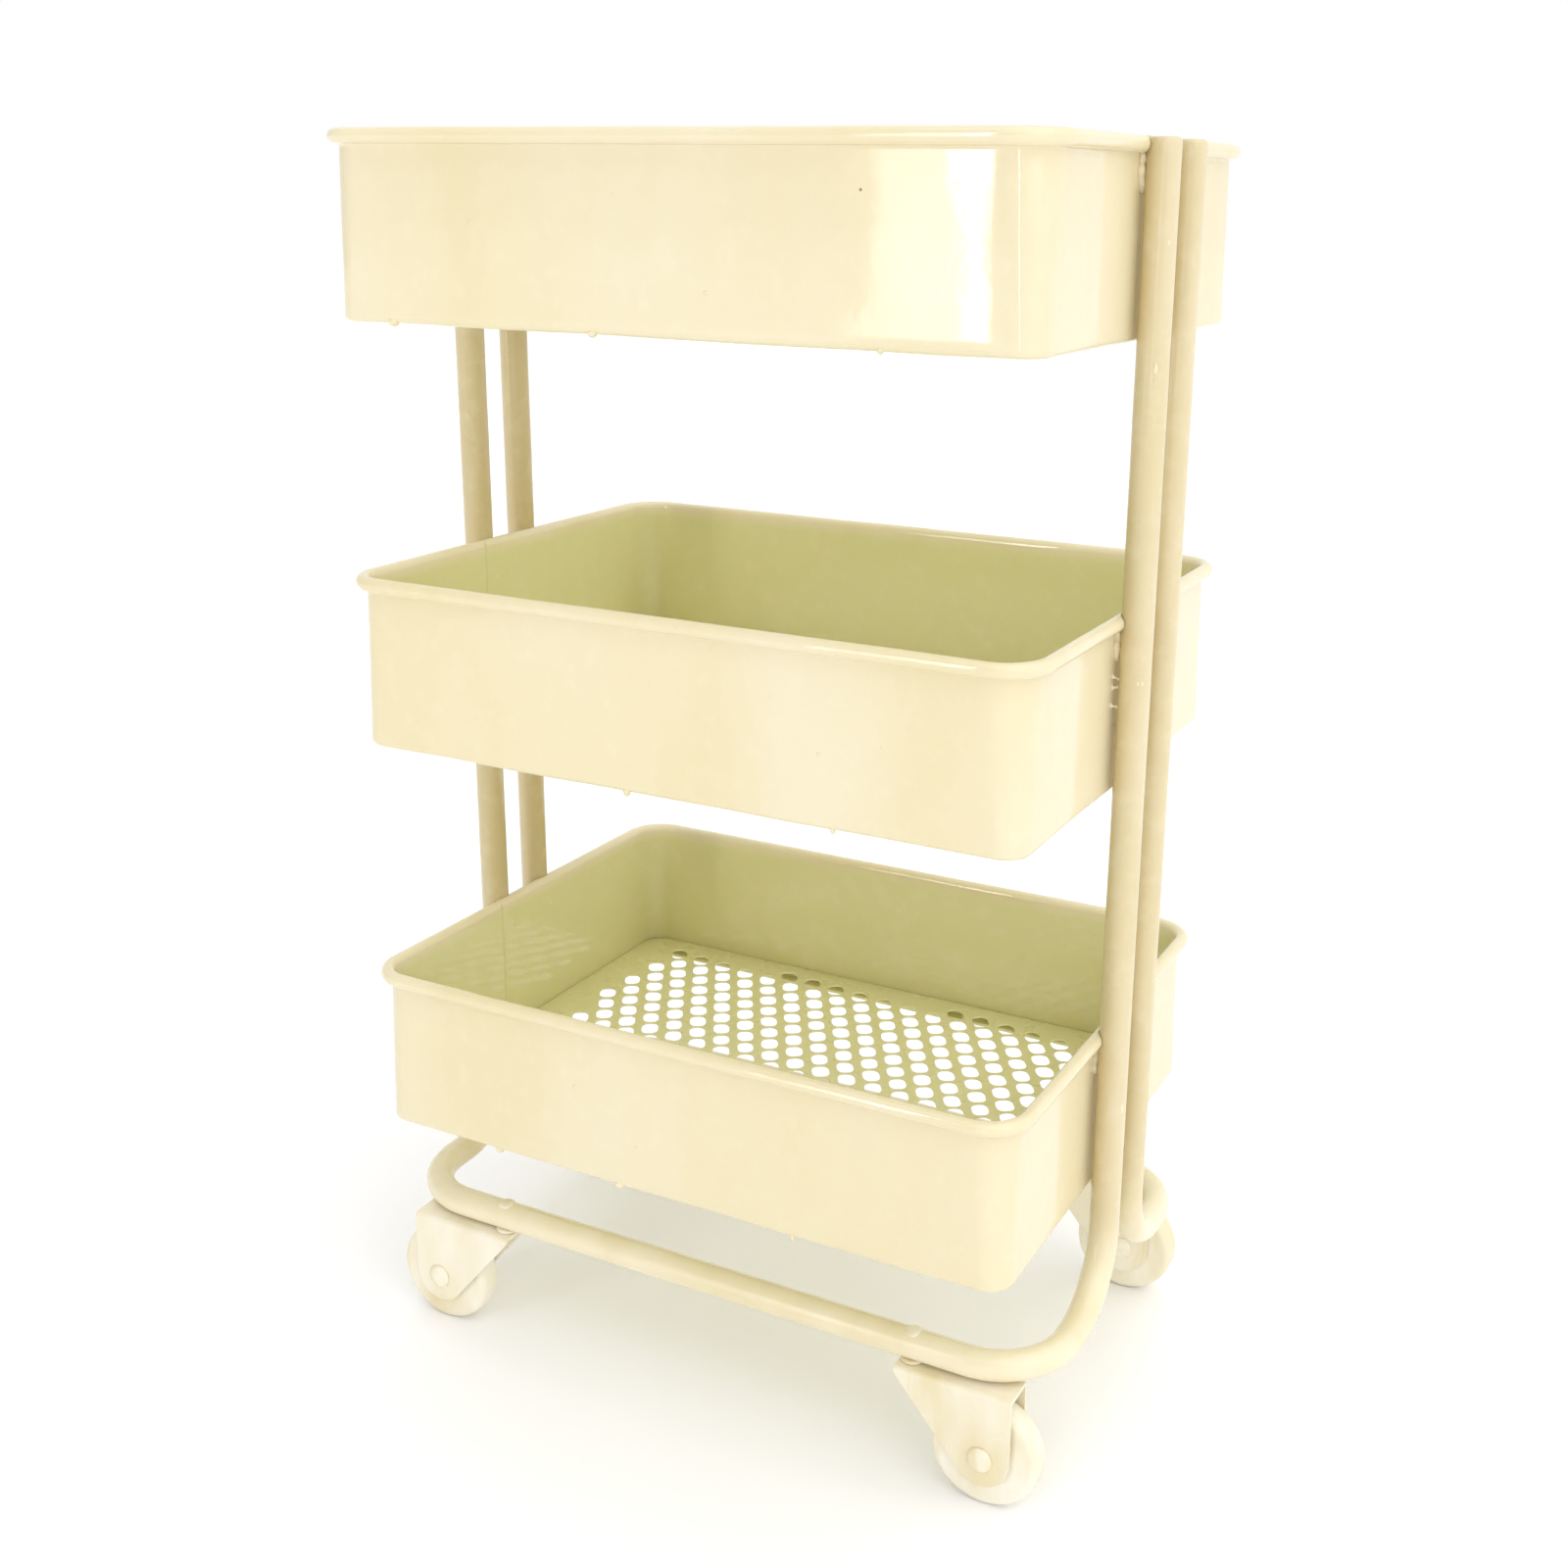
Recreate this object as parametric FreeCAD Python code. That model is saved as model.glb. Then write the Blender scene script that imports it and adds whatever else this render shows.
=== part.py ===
import FreeCAD, Part
import math
import os
from FreeCAD import Vector

# Miniature three-tier utility cart in painted sheet and wire, in millimetres.
# +X runs along the long side, -Y is the front, +Z is up.
# The origin is on the ground, under the middle of the cart.

X_AXIS = Vector(1, 0, 0)
Y_AXIS = Vector(0, 1, 0)
Z_AXIS = Vector(0, 0, 1)

# Trays: rectangle over the outer faces of the walls
TRAY_LENGTH = 72.4
TRAY_WIDTH = 52.6
TRAY_CORNER_RADIUS = 3.4
SHEET = 0.4
RIM_RADIUS = 0.75           # round rolled bead, flush with the wall's inner face
BASE_FOLD_RADIUS = 0.6      # outside of the fold along the bottom edge
RIM_TO_BASE = 16.9          # bead centre down to the bottom edge of the wall
LEDGE_WIDTH = 1.3           # ledge turned in under the floor, from the wall's inner face
TOP_RIM_HEIGHT = 127.9      # bead centre of the top tray above the ground
TIER_PITCH = 42.3
TIERS = ("top", "middle", "bottom")

# Perforated floors: a sheet with its edge turned down as a skirt that stands on the ledge
FLOOR_SHEET = 0.2
FLOOR_RISE = 1.5            # ledge to the floor's top face
FLOOR_FIT = 0.06            # gap between floor edge and wall
HOLE_DIAMETER = 2.3
HOLE_PITCH = 3.5
HOLE_ROW_PITCH = 2.35
HOLE_END_MARGIN = 3.4       # plain metal left between a hole and the floor's ends
HOLE_REAR_MARGIN = 2.0      # the same at the rear edge
HOLE_FRONT_MARGIN = 4.2     # the same at the front edge
MESH_SKEW = -6.0            # degrees, the hole pattern sits a little askew in the tray

# Wire frame loops
WIRE_RADIUS = 1.55
WIRE_TO_WALL = 0.3          # crevice between an upright and the tray wall
UPRIGHT_SPACING = 7.5       # centre to centre of the pair at each end
UPRIGHT_TOP_ABOVE_RIM = 0.6
RAIL_SPACING = 41.4         # centre to centre of the two base rails
FOOT_BEND_RADIUS = 7.8      # upright to the short run
RAIL_BEND_RADIUS = 7.6      # short run to the rail
RIM_NOTCH_FIT = 0.03        # gap between the wire and the notched rim

# Solder lumps between walls and uprights
SOLDER_RADIUS = 0.95
SOLDER_BELOW_RIM = 2.7

# Casters
WHEEL_RADIUS = 5.7
WHEEL_WIDTH = 2.9
WHEEL_SHOULDER = 0.8        # rounding of the tread's edges
HUB_RADIUS = 2.4
HUB_STEP = 0.15             # hub stands out of each side face
WHEEL_SIDE_CLEARANCE = 0.1
TRAIL = 8.3                 # kingpin to axle, along X
KINGPIN_INSET = 13.35       # kingpin axis, inward from the uprights' centres
PLATE_SHEET = 0.4
PLATE_ROUND = 3.0           # outline radius round the axle
PLATE_INNER_REACH = 9.5     # axle to the inner end of the bracket
PLATE_INNER_DEPTH = 0.5     # upright part of the inner edge
WHEEL_TO_WEB = 1.15         # room between the tread and the web above it
FOLD_RADIUS = 0.5           # outside of the folds between web and side plates

# Rivets and washer
RUNNING_FIT = 0.05
TIGHT_FIT = 0.02
KINGPIN_RADIUS = 0.6
KINGPIN_HEAD_RADIUS = 0.95
KINGPIN_HEAD_HEIGHT = 0.45
KINGPIN_SPOT_DEPTH = 0.3    # flat filed on top of the rail for the head
WASHER_RADIUS = 1.3
WASHER_THICKNESS = 0.35
WASHER_SPOT_DEPTH = 0.2     # flat under the rail for the washer
AXLE_RADIUS = 0.8
AXLE_HEAD_RADIUS = 1.35
AXLE_HEAD_HEIGHT = 0.55

# Sizes that follow from the ones above
UPRIGHT_X = TRAY_LENGTH / 2 + WIRE_TO_WALL + WIRE_RADIUS
UPRIGHT_Y = UPRIGHT_SPACING / 2
UPRIGHT_TOP = TOP_RIM_HEIGHT + UPRIGHT_TOP_ABOVE_RIM
RAIL_Y = RAIL_SPACING / 2
WEB_TOP = 2 * WHEEL_RADIUS + WHEEL_TO_WEB + PLATE_SHEET
WASHER_BOTTOM = WEB_TOP + RUNNING_FIT
WASHER_TOP = WASHER_BOTTOM + WASHER_THICKNESS
RAIL_HEIGHT = WASHER_TOP - WASHER_SPOT_DEPTH + WIRE_RADIUS
KINGPIN_X = UPRIGHT_X - KINGPIN_INSET
AXLE_X = KINGPIN_X + TRAIL
AXLE_HEIGHT = WHEEL_RADIUS
HUB_WIDTH = WHEEL_WIDTH + 2 * HUB_STEP
PLATE_INNER_FACE = HUB_WIDTH / 2 + WHEEL_SIDE_CLEARANCE
PLATE_OUTER_FACE = PLATE_INNER_FACE + PLATE_SHEET
KINGPIN_SEAT = RAIL_HEIGHT + WIRE_RADIUS - KINGPIN_SPOT_DEPTH
CORNERS = {"front_left": (-1, -1), "front_right": (1, -1), "rear_left": (-1, 1), "rear_right": (1, 1)}


def rim_height(tier):
    return TOP_RIM_HEIGHT - TIERS.index(tier) * TIER_PITCH


def base_height(tier):
    return rim_height(tier) - RIM_TO_BASE


def rounded_rectangle(length, width, radius, z):
    """Closed wire, centred on the Z axis, with arcs at its corners."""
    half_x = length / 2
    half_y = width / 2
    edges = []
    for quarter in range(4):
        start = math.radians(90 * quarter)
        sign_x = 1 if quarter in (0, 3) else -1
        sign_y = 1 if quarter in (0, 1) else -1
        centre = Vector(sign_x * (half_x - radius), sign_y * (half_y - radius), z)
        points = []
        for step in range(3):
            angle = start + step * math.pi / 4
            points.append(centre + Vector(radius * math.cos(angle), radius * math.sin(angle), 0))
        edges.append(Part.Arc(*points).toShape())
    lines = []
    for index, arc in enumerate(edges):
        following = edges[(index + 1) % 4]
        lines.append(Part.makeLine(arc.lastVertex().Point, following.firstVertex().Point))
    return Part.Wire([edge for pair in zip(edges, lines) for edge in pair])


def rounded_plate(length, width, radius, z, thickness):
    face = Part.Face(rounded_rectangle(length, width, radius, z))
    return face.extrude(Vector(0, 0, thickness))


def inset_plate(inset, z, thickness):
    """Plate whose edge lies inset inside the tray walls' outer faces."""
    return rounded_plate(TRAY_LENGTH - 2 * inset, TRAY_WIDTH - 2 * inset, TRAY_CORNER_RADIUS - inset, z, thickness)


def disc(radius, z, height, x=0.0, y=0.0):
    return Part.makeCylinder(radius, height, Vector(x, y, z))


def tray_section(corner_x, corner_y):
    """Section of a tray wall, in the XZ plane through the end of a corner, facing +X."""
    outer = corner_x + TRAY_CORNER_RADIUS
    inner = outer - SHEET
    bead_x = inner + RIM_RADIUS
    bead_meets_wall = RIM_TO_BASE - math.sqrt(RIM_RADIUS ** 2 - (RIM_RADIUS - SHEET) ** 2)

    def at(x, z):
        return Vector(x, corner_y, z)

    fold_middle = BASE_FOLD_RADIUS * (1 - math.sqrt(0.5))
    fold = Part.Arc(
        at(outer - BASE_FOLD_RADIUS, 0),
        at(outer - fold_middle, fold_middle),
        at(outer, BASE_FOLD_RADIUS),
    ).toShape()
    bead = Part.Arc(
        at(outer, bead_meets_wall),
        at(bead_x + RIM_RADIUS, RIM_TO_BASE),
        at(inner, RIM_TO_BASE),
    ).toShape()
    return Part.Face(Part.Wire([
        Part.makeLine(at(inner - LEDGE_WIDTH, 0), at(outer - BASE_FOLD_RADIUS, 0)),
        fold,
        Part.makeLine(at(outer, BASE_FOLD_RADIUS), at(outer, bead_meets_wall)),
        bead,
        Part.makeLine(at(inner, RIM_TO_BASE), at(inner, SHEET)),
        Part.makeLine(at(inner, SHEET), at(inner - LEDGE_WIDTH, SHEET)),
        Part.makeLine(at(inner - LEDGE_WIDTH, SHEET), at(inner - LEDGE_WIDTH, 0)),
    ]))


def tray_quarter(quarter):
    """One rounded corner and the straight wall that follows it, going anticlockwise."""
    along_x = TRAY_LENGTH / 2 - TRAY_CORNER_RADIUS
    along_y = TRAY_WIDTH / 2 - TRAY_CORNER_RADIUS
    if quarter % 2:
        along_x, along_y = along_y, along_x
    section = tray_section(along_x, along_y)
    corner = section.revolve(Vector(along_x, along_y, 0), Z_AXIS, 90)
    section.rotate(Vector(along_x, along_y, 0), Z_AXIS, 90)
    wall = section.extrude(-X_AXIS * (2 * along_x))
    pair = corner.fuse(wall)
    pair.rotate(Vector(0, 0, 0), Z_AXIS, 90 * quarter)
    return pair


def upright_bores(z, height):
    """Cylinders that clear the four uprights over a stretch of their height."""
    bores = []
    for sign_x in (-1, 1):
        for sign_y in (-1, 1):
            bores.append(disc(WIRE_RADIUS + RIM_NOTCH_FIT, z, height, sign_x * UPRIGHT_X, sign_y * UPRIGHT_Y))
    return Part.makeCompound(bores)


def make_tray(tier):
    """Wall strip with its ledge and rolled rim, notched for the uprights."""
    quarters = [tray_quarter(quarter) for quarter in range(4)]
    tray = quarters[0].multiFuse(quarters[1:]).removeSplitter()
    tray.translate(Vector(0, 0, base_height(tier)))
    return tray.cut(upright_bores(rim_height(tier) - 2 * RIM_RADIUS, 4 * RIM_RADIUS))


def hole_centres(half_x, low_y, high_y):
    """Staggered rows of holes, turned by the skew, that keep inside the given limits."""
    skew = math.radians(MESH_SKEW)
    rows = int((high_y - low_y) / HOLE_ROW_PITCH) + 2
    columns = int(2 * half_x / HOLE_PITCH) + 2
    centres = []
    for row in range(-rows, rows + 1):
        stagger = HOLE_PITCH / 2 if row % 2 else 0.0
        for column in range(-columns, columns + 1):
            along = column * HOLE_PITCH + stagger
            across = row * HOLE_ROW_PITCH
            x = along * math.cos(skew) - across * math.sin(skew)
            y = along * math.sin(skew) + across * math.cos(skew)
            if abs(x) <= half_x and low_y <= y <= high_y:
                centres.append((x, y))
    return centres


def make_tray_floor(tier):
    """Perforated sheet whose turned-down skirt stands on the ledge inside the walls."""
    ledge_top = base_height(tier) + SHEET
    z = ledge_top + FLOOR_RISE - FLOOR_SHEET
    inset = SHEET + FLOOR_FIT
    length = TRAY_LENGTH - 2 * inset
    width = TRAY_WIDTH - 2 * inset
    half_x = length / 2 - HOLE_END_MARGIN - HOLE_DIAMETER / 2
    low_y = HOLE_FRONT_MARGIN + HOLE_DIAMETER / 2 - width / 2
    high_y = width / 2 - HOLE_REAR_MARGIN - HOLE_DIAMETER / 2
    outline = rounded_rectangle(length, width, TRAY_CORNER_RADIUS - inset, z)
    wires = [outline]
    for x, y in hole_centres(half_x, low_y, high_y):
        wires.append(Part.Wire(Part.makeCircle(HOLE_DIAMETER / 2, Vector(x, y, z))))
    sheet = Part.makeFace(wires, "Part::FaceMakerBullseye").extrude(Vector(0, 0, FLOOR_SHEET))
    skirt_height = FLOOR_RISE - FLOOR_SHEET
    skirt = inset_plate(inset, ledge_top, skirt_height).cut(inset_plate(inset + FLOOR_SHEET, ledge_top, skirt_height))
    return sheet.fuse(skirt).removeSplitter()


def quarter_bend(centre, start_direction, end_direction, radius):
    """Arc from centre + start_direction to centre + end_direction."""
    middle = (start_direction + end_direction).normalize()
    return Part.Arc(
        centre + start_direction * radius,
        centre + middle * radius,
        centre + end_direction * radius,
    ).toShape()


def loop_half(side):
    """Edges of the front loop's centre line from an upright's top down to the start of the rail."""
    foot_centre = Vector(side * UPRIGHT_X, -UPRIGHT_Y - FOOT_BEND_RADIUS, RAIL_HEIGHT + FOOT_BEND_RADIUS)
    rail_centre = Vector(side * (UPRIGHT_X - RAIL_BEND_RADIUS), RAIL_BEND_RADIUS - RAIL_Y, RAIL_HEIGHT)
    top = Vector(side * UPRIGHT_X, -UPRIGHT_Y, UPRIGHT_TOP)
    foot_bend = quarter_bend(foot_centre, Y_AXIS, -Z_AXIS, FOOT_BEND_RADIUS)
    rail_bend = quarter_bend(rail_centre, X_AXIS * side, -Y_AXIS, RAIL_BEND_RADIUS)
    run_end = rail_centre + X_AXIS * (side * RAIL_BEND_RADIUS)
    upright = Part.makeLine(top, foot_centre + Y_AXIS * FOOT_BEND_RADIUS)
    run = Part.makeLine(foot_centre - Z_AXIS * FOOT_BEND_RADIUS, run_end)
    return [upright, foot_bend, run, rail_bend]


def swept_wire(edges):
    """Round bar along the edges, one fused solid."""
    pieces = []
    for edge in edges:
        start = edge.valueAt(edge.FirstParameter)
        profile = Part.Wire(Part.makeCircle(WIRE_RADIUS, start, edge.tangentAt(edge.FirstParameter)))
        pieces.append(Part.Wire(edge).makePipeShell([profile], True, True))
    return pieces[0].multiFuse(pieces[1:])


def make_frame_loop(side_y):
    """One bent wire: two uprights, their bends and the base rail, drilled for two kingpins."""
    rail_end = UPRIGHT_X - RAIL_BEND_RADIUS
    rail = Part.makeLine(Vector(-rail_end, -RAIL_Y, RAIL_HEIGHT), Vector(rail_end, -RAIL_Y, RAIL_HEIGHT))
    loop = swept_wire(loop_half(-1) + [rail] + loop_half(1))
    cuts = []
    for side in (-1, 1):
        x = side * KINGPIN_X
        cuts.append(disc(KINGPIN_RADIUS + TIGHT_FIT, RAIL_HEIGHT - 2 * WIRE_RADIUS, 4 * WIRE_RADIUS, x, -RAIL_Y))
        cuts.append(disc(KINGPIN_HEAD_RADIUS + RUNNING_FIT, KINGPIN_SEAT, WIRE_RADIUS, x, -RAIL_Y))
        cuts.append(disc(WASHER_RADIUS + RUNNING_FIT, WASHER_TOP - WIRE_RADIUS, WIRE_RADIUS, x, -RAIL_Y))
    loop = loop.cut(Part.makeCompound(cuts)).removeSplitter()
    if side_y > 0:
        loop = loop.mirror(Vector(0, 0, 0), Y_AXIS)
    return loop


def make_solder_joints(tier):
    """Four lumps that fill the crevices between one tray's end walls and the uprights."""
    z = rim_height(tier) - SOLDER_BELOW_RIM
    lumps = []
    for sign_x in (-1, 1):
        for sign_y in (-1, 1):
            centre = Vector(sign_x * (TRAY_LENGTH / 2 + WIRE_TO_WALL / 2), sign_y * UPRIGHT_Y, z)
            lump = Part.makeSphere(SOLDER_RADIUS, centre)
            lump = lump.cut(inset_plate(0, z - 2 * SOLDER_RADIUS, 4 * SOLDER_RADIUS))
            lumps.append(lump.cut(disc(WIRE_RADIUS, z - 2 * SOLDER_RADIUS, 4 * SOLDER_RADIUS,
                                       sign_x * UPRIGHT_X, sign_y * UPRIGHT_Y)))
    return Part.makeCompound([solid for lump in lumps for solid in lump.Solids])


def dome(radius, height, base, direction):
    """Rivet head: a spherical cap standing on a flat base."""
    sphere_radius = (radius * radius + height * height) / (2 * height)
    ball = Part.makeSphere(sphere_radius, base - direction * (sphere_radius - height))
    keep = Part.makeCylinder(radius, height, base, direction)
    return ball.common(keep)


def make_kingpin(x, y):
    """Rivet through the rail, the washer and the bracket's web, with a head at each end."""
    web_bottom = WEB_TOP - PLATE_SHEET
    lower_seat = web_bottom - RUNNING_FIT
    shank = disc(KINGPIN_RADIUS, lower_seat, KINGPIN_SEAT - lower_seat, x, y)
    upper = dome(KINGPIN_HEAD_RADIUS, KINGPIN_HEAD_HEIGHT, Vector(x, y, KINGPIN_SEAT), Z_AXIS)
    lower = dome(KINGPIN_HEAD_RADIUS, KINGPIN_HEAD_HEIGHT, Vector(x, y, lower_seat), -Z_AXIS)
    return shank.multiFuse([upper, lower]).removeSplitter()


def make_spacer_washer(x, y):
    bore = disc(KINGPIN_RADIUS + TIGHT_FIT, WASHER_BOTTOM, WASHER_THICKNESS, x, y)
    return disc(WASHER_RADIUS, WASHER_BOTTOM, WASHER_THICKNESS, x, y).cut(bore)


def bracket_outline(side):
    """Side plate outline in the XZ plane, round the axle below and straight along the web above."""
    top = WEB_TOP - AXLE_HEIGHT
    reach = PLATE_INNER_REACH
    corner_height = top - PLATE_INNER_DEPTH
    distance = math.hypot(reach, corner_height)
    tangent_angle = math.atan2(corner_height, -reach) + math.acos(PLATE_ROUND / distance)
    middle_angle = (tangent_angle + 2 * math.pi) / 2
    tangent = (PLATE_ROUND * math.cos(tangent_angle), PLATE_ROUND * math.sin(tangent_angle))
    middle = (PLATE_ROUND * math.cos(middle_angle), PLATE_ROUND * math.sin(middle_angle))

    def place(point):
        return Vector(side * (AXLE_X + point[0]), 0, AXLE_HEIGHT + point[1])

    outer_top = place((PLATE_ROUND, top))
    outer_low = place((PLATE_ROUND, 0))
    inner_low = place((-reach, corner_height))
    inner_top = place((-reach, top))
    arc = Part.Arc(place(tangent), place(middle), outer_low).toShape()
    return Part.Wire([
        Part.makeLine(inner_top, inner_low),
        Part.makeLine(inner_low, place(tangent)),
        arc,
        Part.makeLine(outer_low, outer_top),
        Part.makeLine(outer_top, inner_top),
    ])


def make_caster_bracket(side, y):
    """Inverted U of folded sheet, with holes for the kingpin and the axle rivet."""
    width = 2 * PLATE_OUTER_FACE
    block = Part.Face(bracket_outline(side)).extrude(Y_AXIS * width)
    block.translate(Vector(0, -PLATE_OUTER_FACE, 0))
    folds = []
    for edge in block.Edges:
        low, high = edge.BoundBox.ZMin, edge.BoundBox.ZMax
        along_x = edge.BoundBox.XLength > WHEEL_RADIUS
        if along_x and low > WEB_TOP - FOLD_RADIUS and high > WEB_TOP - FOLD_RADIUS:
            folds.append(edge)
    block = block.makeFillet(FOLD_RADIUS, folds)
    box = block.BoundBox
    throat_height = WEB_TOP - PLATE_SHEET - box.ZMin
    throat = Part.makeBox(
        box.XLength + 2 * PLATE_SHEET,
        2 * PLATE_INNER_FACE,
        throat_height + PLATE_SHEET,
        Vector(box.XMin - PLATE_SHEET, -PLATE_INNER_FACE, box.ZMin - PLATE_SHEET),
    )
    bracket = block.cut(throat)
    axle_hole = Part.makeCylinder(
        AXLE_RADIUS + TIGHT_FIT, 2 * width, Vector(side * AXLE_X, -width, AXLE_HEIGHT), Y_AXIS)
    king_hole = disc(KINGPIN_RADIUS + RUNNING_FIT, WEB_TOP - 2 * PLATE_SHEET, 3 * PLATE_SHEET, side * KINGPIN_X)
    bracket = bracket.cut(axle_hole).cut(king_hole)
    bracket.translate(Vector(0, y, 0))
    return bracket


def make_axle_rivet(x, y):
    """Straight shank with a domed head outside each side plate."""
    start = Vector(x, y - PLATE_OUTER_FACE, AXLE_HEIGHT)
    end = Vector(x, y + PLATE_OUTER_FACE, AXLE_HEIGHT)
    shank = Part.makeCylinder(AXLE_RADIUS, 2 * PLATE_OUTER_FACE, start, Y_AXIS)
    front_head = dome(AXLE_HEAD_RADIUS, AXLE_HEAD_HEIGHT, start, -Y_AXIS)
    rear_head = dome(AXLE_HEAD_RADIUS, AXLE_HEAD_HEIGHT, end, Y_AXIS)
    return shank.multiFuse([front_head, rear_head]).removeSplitter()


def make_wheel(x, y):
    """Solid wheel with rounded tread edges and a low hub on each side."""
    base = Vector(x, y - WHEEL_WIDTH / 2, AXLE_HEIGHT)
    tyre = Part.makeCylinder(WHEEL_RADIUS, WHEEL_WIDTH, base, Y_AXIS)
    edges = [edge for edge in tyre.Edges if edge.Curve.TypeId == "Part::GeomCircle"]
    tyre = tyre.makeFillet(WHEEL_SHOULDER, edges)
    hub_base = Vector(x, y - HUB_WIDTH / 2, AXLE_HEIGHT)
    hub = Part.makeCylinder(HUB_RADIUS, HUB_WIDTH, hub_base, Y_AXIS)
    bore = Part.makeCylinder(AXLE_RADIUS + RUNNING_FIT, HUB_WIDTH, hub_base, Y_AXIS)
    return tyre.fuse(hub).cut(bore).removeSplitter()


def write(name, shape):
    """Write one node's solids and report their volume."""
    if not shape.isValid():
        raise RuntimeError(name + " is not a valid shape")
    shape.exportStep("parts/" + name + ".step")
    print(f"{name:28s} solids {len(shape.Solids)} volume {shape.Volume:9.2f} mm3")


def main():
    os.makedirs("parts", exist_ok=True)
    loops = {"front": make_frame_loop(-1), "rear": make_frame_loop(1)}
    for name, loop in loops.items():
        write(name + "_frame_loop", loop)
    for tier in TIERS:
        write(tier + "_tray", make_tray(tier))
        write(tier + "_tray_floor", make_tray_floor(tier))
        write(tier + "_solder_joints", make_solder_joints(tier))
    for corner, (side_x, side_y) in CORNERS.items():
        king_x = side_x * KINGPIN_X
        axle_x = side_x * AXLE_X
        y = side_y * RAIL_Y
        write(corner + "_kingpin", make_kingpin(king_x, y))
        write(corner + "_spacer_washer", make_spacer_washer(king_x, y))
        write(corner + "_caster_bracket", make_caster_bracket(side_x, y))
        write(corner + "_axle_rivet", make_axle_rivet(axle_x, y))
        write(corner + "_wheel", make_wheel(axle_x, y))


main()
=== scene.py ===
import math
import random

import bmesh
import bpy
from bpy.props import FloatProperty, FloatVectorProperty, IntProperty, PointerProperty
from mathutils import Matrix, Vector, noise


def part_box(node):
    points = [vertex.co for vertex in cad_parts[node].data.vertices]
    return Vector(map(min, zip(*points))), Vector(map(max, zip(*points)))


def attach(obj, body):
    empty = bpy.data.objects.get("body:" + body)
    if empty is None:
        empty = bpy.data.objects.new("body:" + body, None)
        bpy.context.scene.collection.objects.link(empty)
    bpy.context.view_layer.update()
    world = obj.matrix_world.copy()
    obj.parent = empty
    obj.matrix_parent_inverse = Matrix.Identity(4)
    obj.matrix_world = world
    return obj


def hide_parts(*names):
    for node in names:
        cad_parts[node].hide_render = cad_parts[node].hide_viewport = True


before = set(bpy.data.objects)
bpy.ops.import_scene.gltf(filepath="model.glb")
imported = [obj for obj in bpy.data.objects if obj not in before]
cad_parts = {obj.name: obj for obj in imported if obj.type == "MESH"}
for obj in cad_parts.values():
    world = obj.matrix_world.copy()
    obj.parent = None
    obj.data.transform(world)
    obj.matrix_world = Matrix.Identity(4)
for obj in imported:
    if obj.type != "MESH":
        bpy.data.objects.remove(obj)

bl_info = {
    "name": "Miniature utility cart",
    "version": (1, 0, 0),
    "blender": (4, 5, 0),
    "location": "3D View > Sidebar > Cart",
    "description": "Builds the painted sheet, wire and casters of a three-tier doll-scale cart",
    "category": "Add Mesh",
}

MM = 0.001
TIERS = ("top", "middle", "bottom")
# The side of the cart, left or right, that each corner is on
CORNERS = {"front_left": -1, "front_right": 1, "rear_left": -1, "rear_right": 1}
FRAME_LOOPS = {"front_frame_loop": -1, "rear_frame_loop": 1}


def linear(hex_colour):
    """sRGB hex value as a linear colour."""
    parts = []
    for start in (0, 2, 4):
        value = int(hex_colour[start:start + 2], 16) / 255
        parts.append(value / 12.92 if value <= 0.04045 else ((value + 0.055) / 1.055) ** 2.4)
    return tuple(parts)


def colour(label, about, hex_colour):
    """A colour the user can change."""
    return FloatVectorProperty(name=label, description=about, subtype="COLOR", size=3, min=0, max=1,
                               default=linear(hex_colour))


def length(label, about, millimetres):
    """A length the user can change, given in millimetres."""
    return FloatProperty(name=label, description=about, default=millimetres * MM, unit="LENGTH",
                         precision=6)


def turn(label, about, degrees):
    """An angle the user can change, given in degrees."""
    return FloatProperty(name=label, description=about, default=math.radians(degrees),
                         unit="ROTATION")


def amount(label, about, value):
    """A plain number the user can change."""
    return FloatProperty(name=label, description=about, default=value)


class CartShape(bpy.types.PropertyGroup):
    """Sizes of the detail that is finer than the frame."""
    sheet: length("Sheet", "Thickness of the tray walls", 0.4)
    bead_radius: length("Bead radius", "Radius of the rolled rim", 0.75)
    corner_radius: length("Corner radius", "Outer radius of the walls in plan, at the rim", 3.8)
    low_corner: length("Low corner radius", "The same radius at the bottom edge", 2.7)
    floor_corner: length("Floor corner radius", "Radius of the floors' corners in plan", 2.94)
    ledge: length("Ledge", "Width of the ledge under the floor", 1.3)
    wave: length("Wall wave", "How far the thin walls wander from flat", 0.045)
    wire_radius: length("Wire radius", "Radius of the frame wire", 1.55)
    foot_bend: length("Foot bend", "Bend from upright to the short run", 7.8)
    rail_bend: length("Rail bend", "Bend from the short run to the rail", 7.6)
    floor_sheet: length("Floor sheet", "Thickness of the perforated floors", 0.2)
    hole_width: length("Hole width", "Punched holes across the tool's feed, after painting", 1.95)
    hole_length: length("Hole length", "Punched holes along the tool's feed, after painting", 2.72)
    hole_pitch: length("Hole pitch", "Spacing of holes along a row", 3.5)
    hole_row_pitch: length("Hole row pitch", "Spacing of the staggered rows", 2.35)
    end_margin: length("End margin", "Plain metal left at the floor's ends", 3.4)
    rear_margin: length("Rear margin", "Plain metal left at the floor's rear edge", 2.0)
    front_margin: length("Front margin", "Plain metal left at the floor's front edge", 4.2)
    hole_skew: turn("Hole skew", "Turn of the hole pattern in the tray", -6)
    seam_y: length("Seam place", "Where the wall strip's ends meet on the left end", -5.4)
    plate: length("Bracket sheet", "Thickness of the folded bracket", 0.4)
    plate_inner_depth: length("Bracket inner depth", "Upright part of the inner edge", 0.56)
    plate_fold: length("Bracket fold", "Outer radius of the bracket's folds", 0.5)
    lumps: IntProperty(name="Lump seed", description="Seed of the paint lumps and drips",
                       default=11, min=0)


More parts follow.
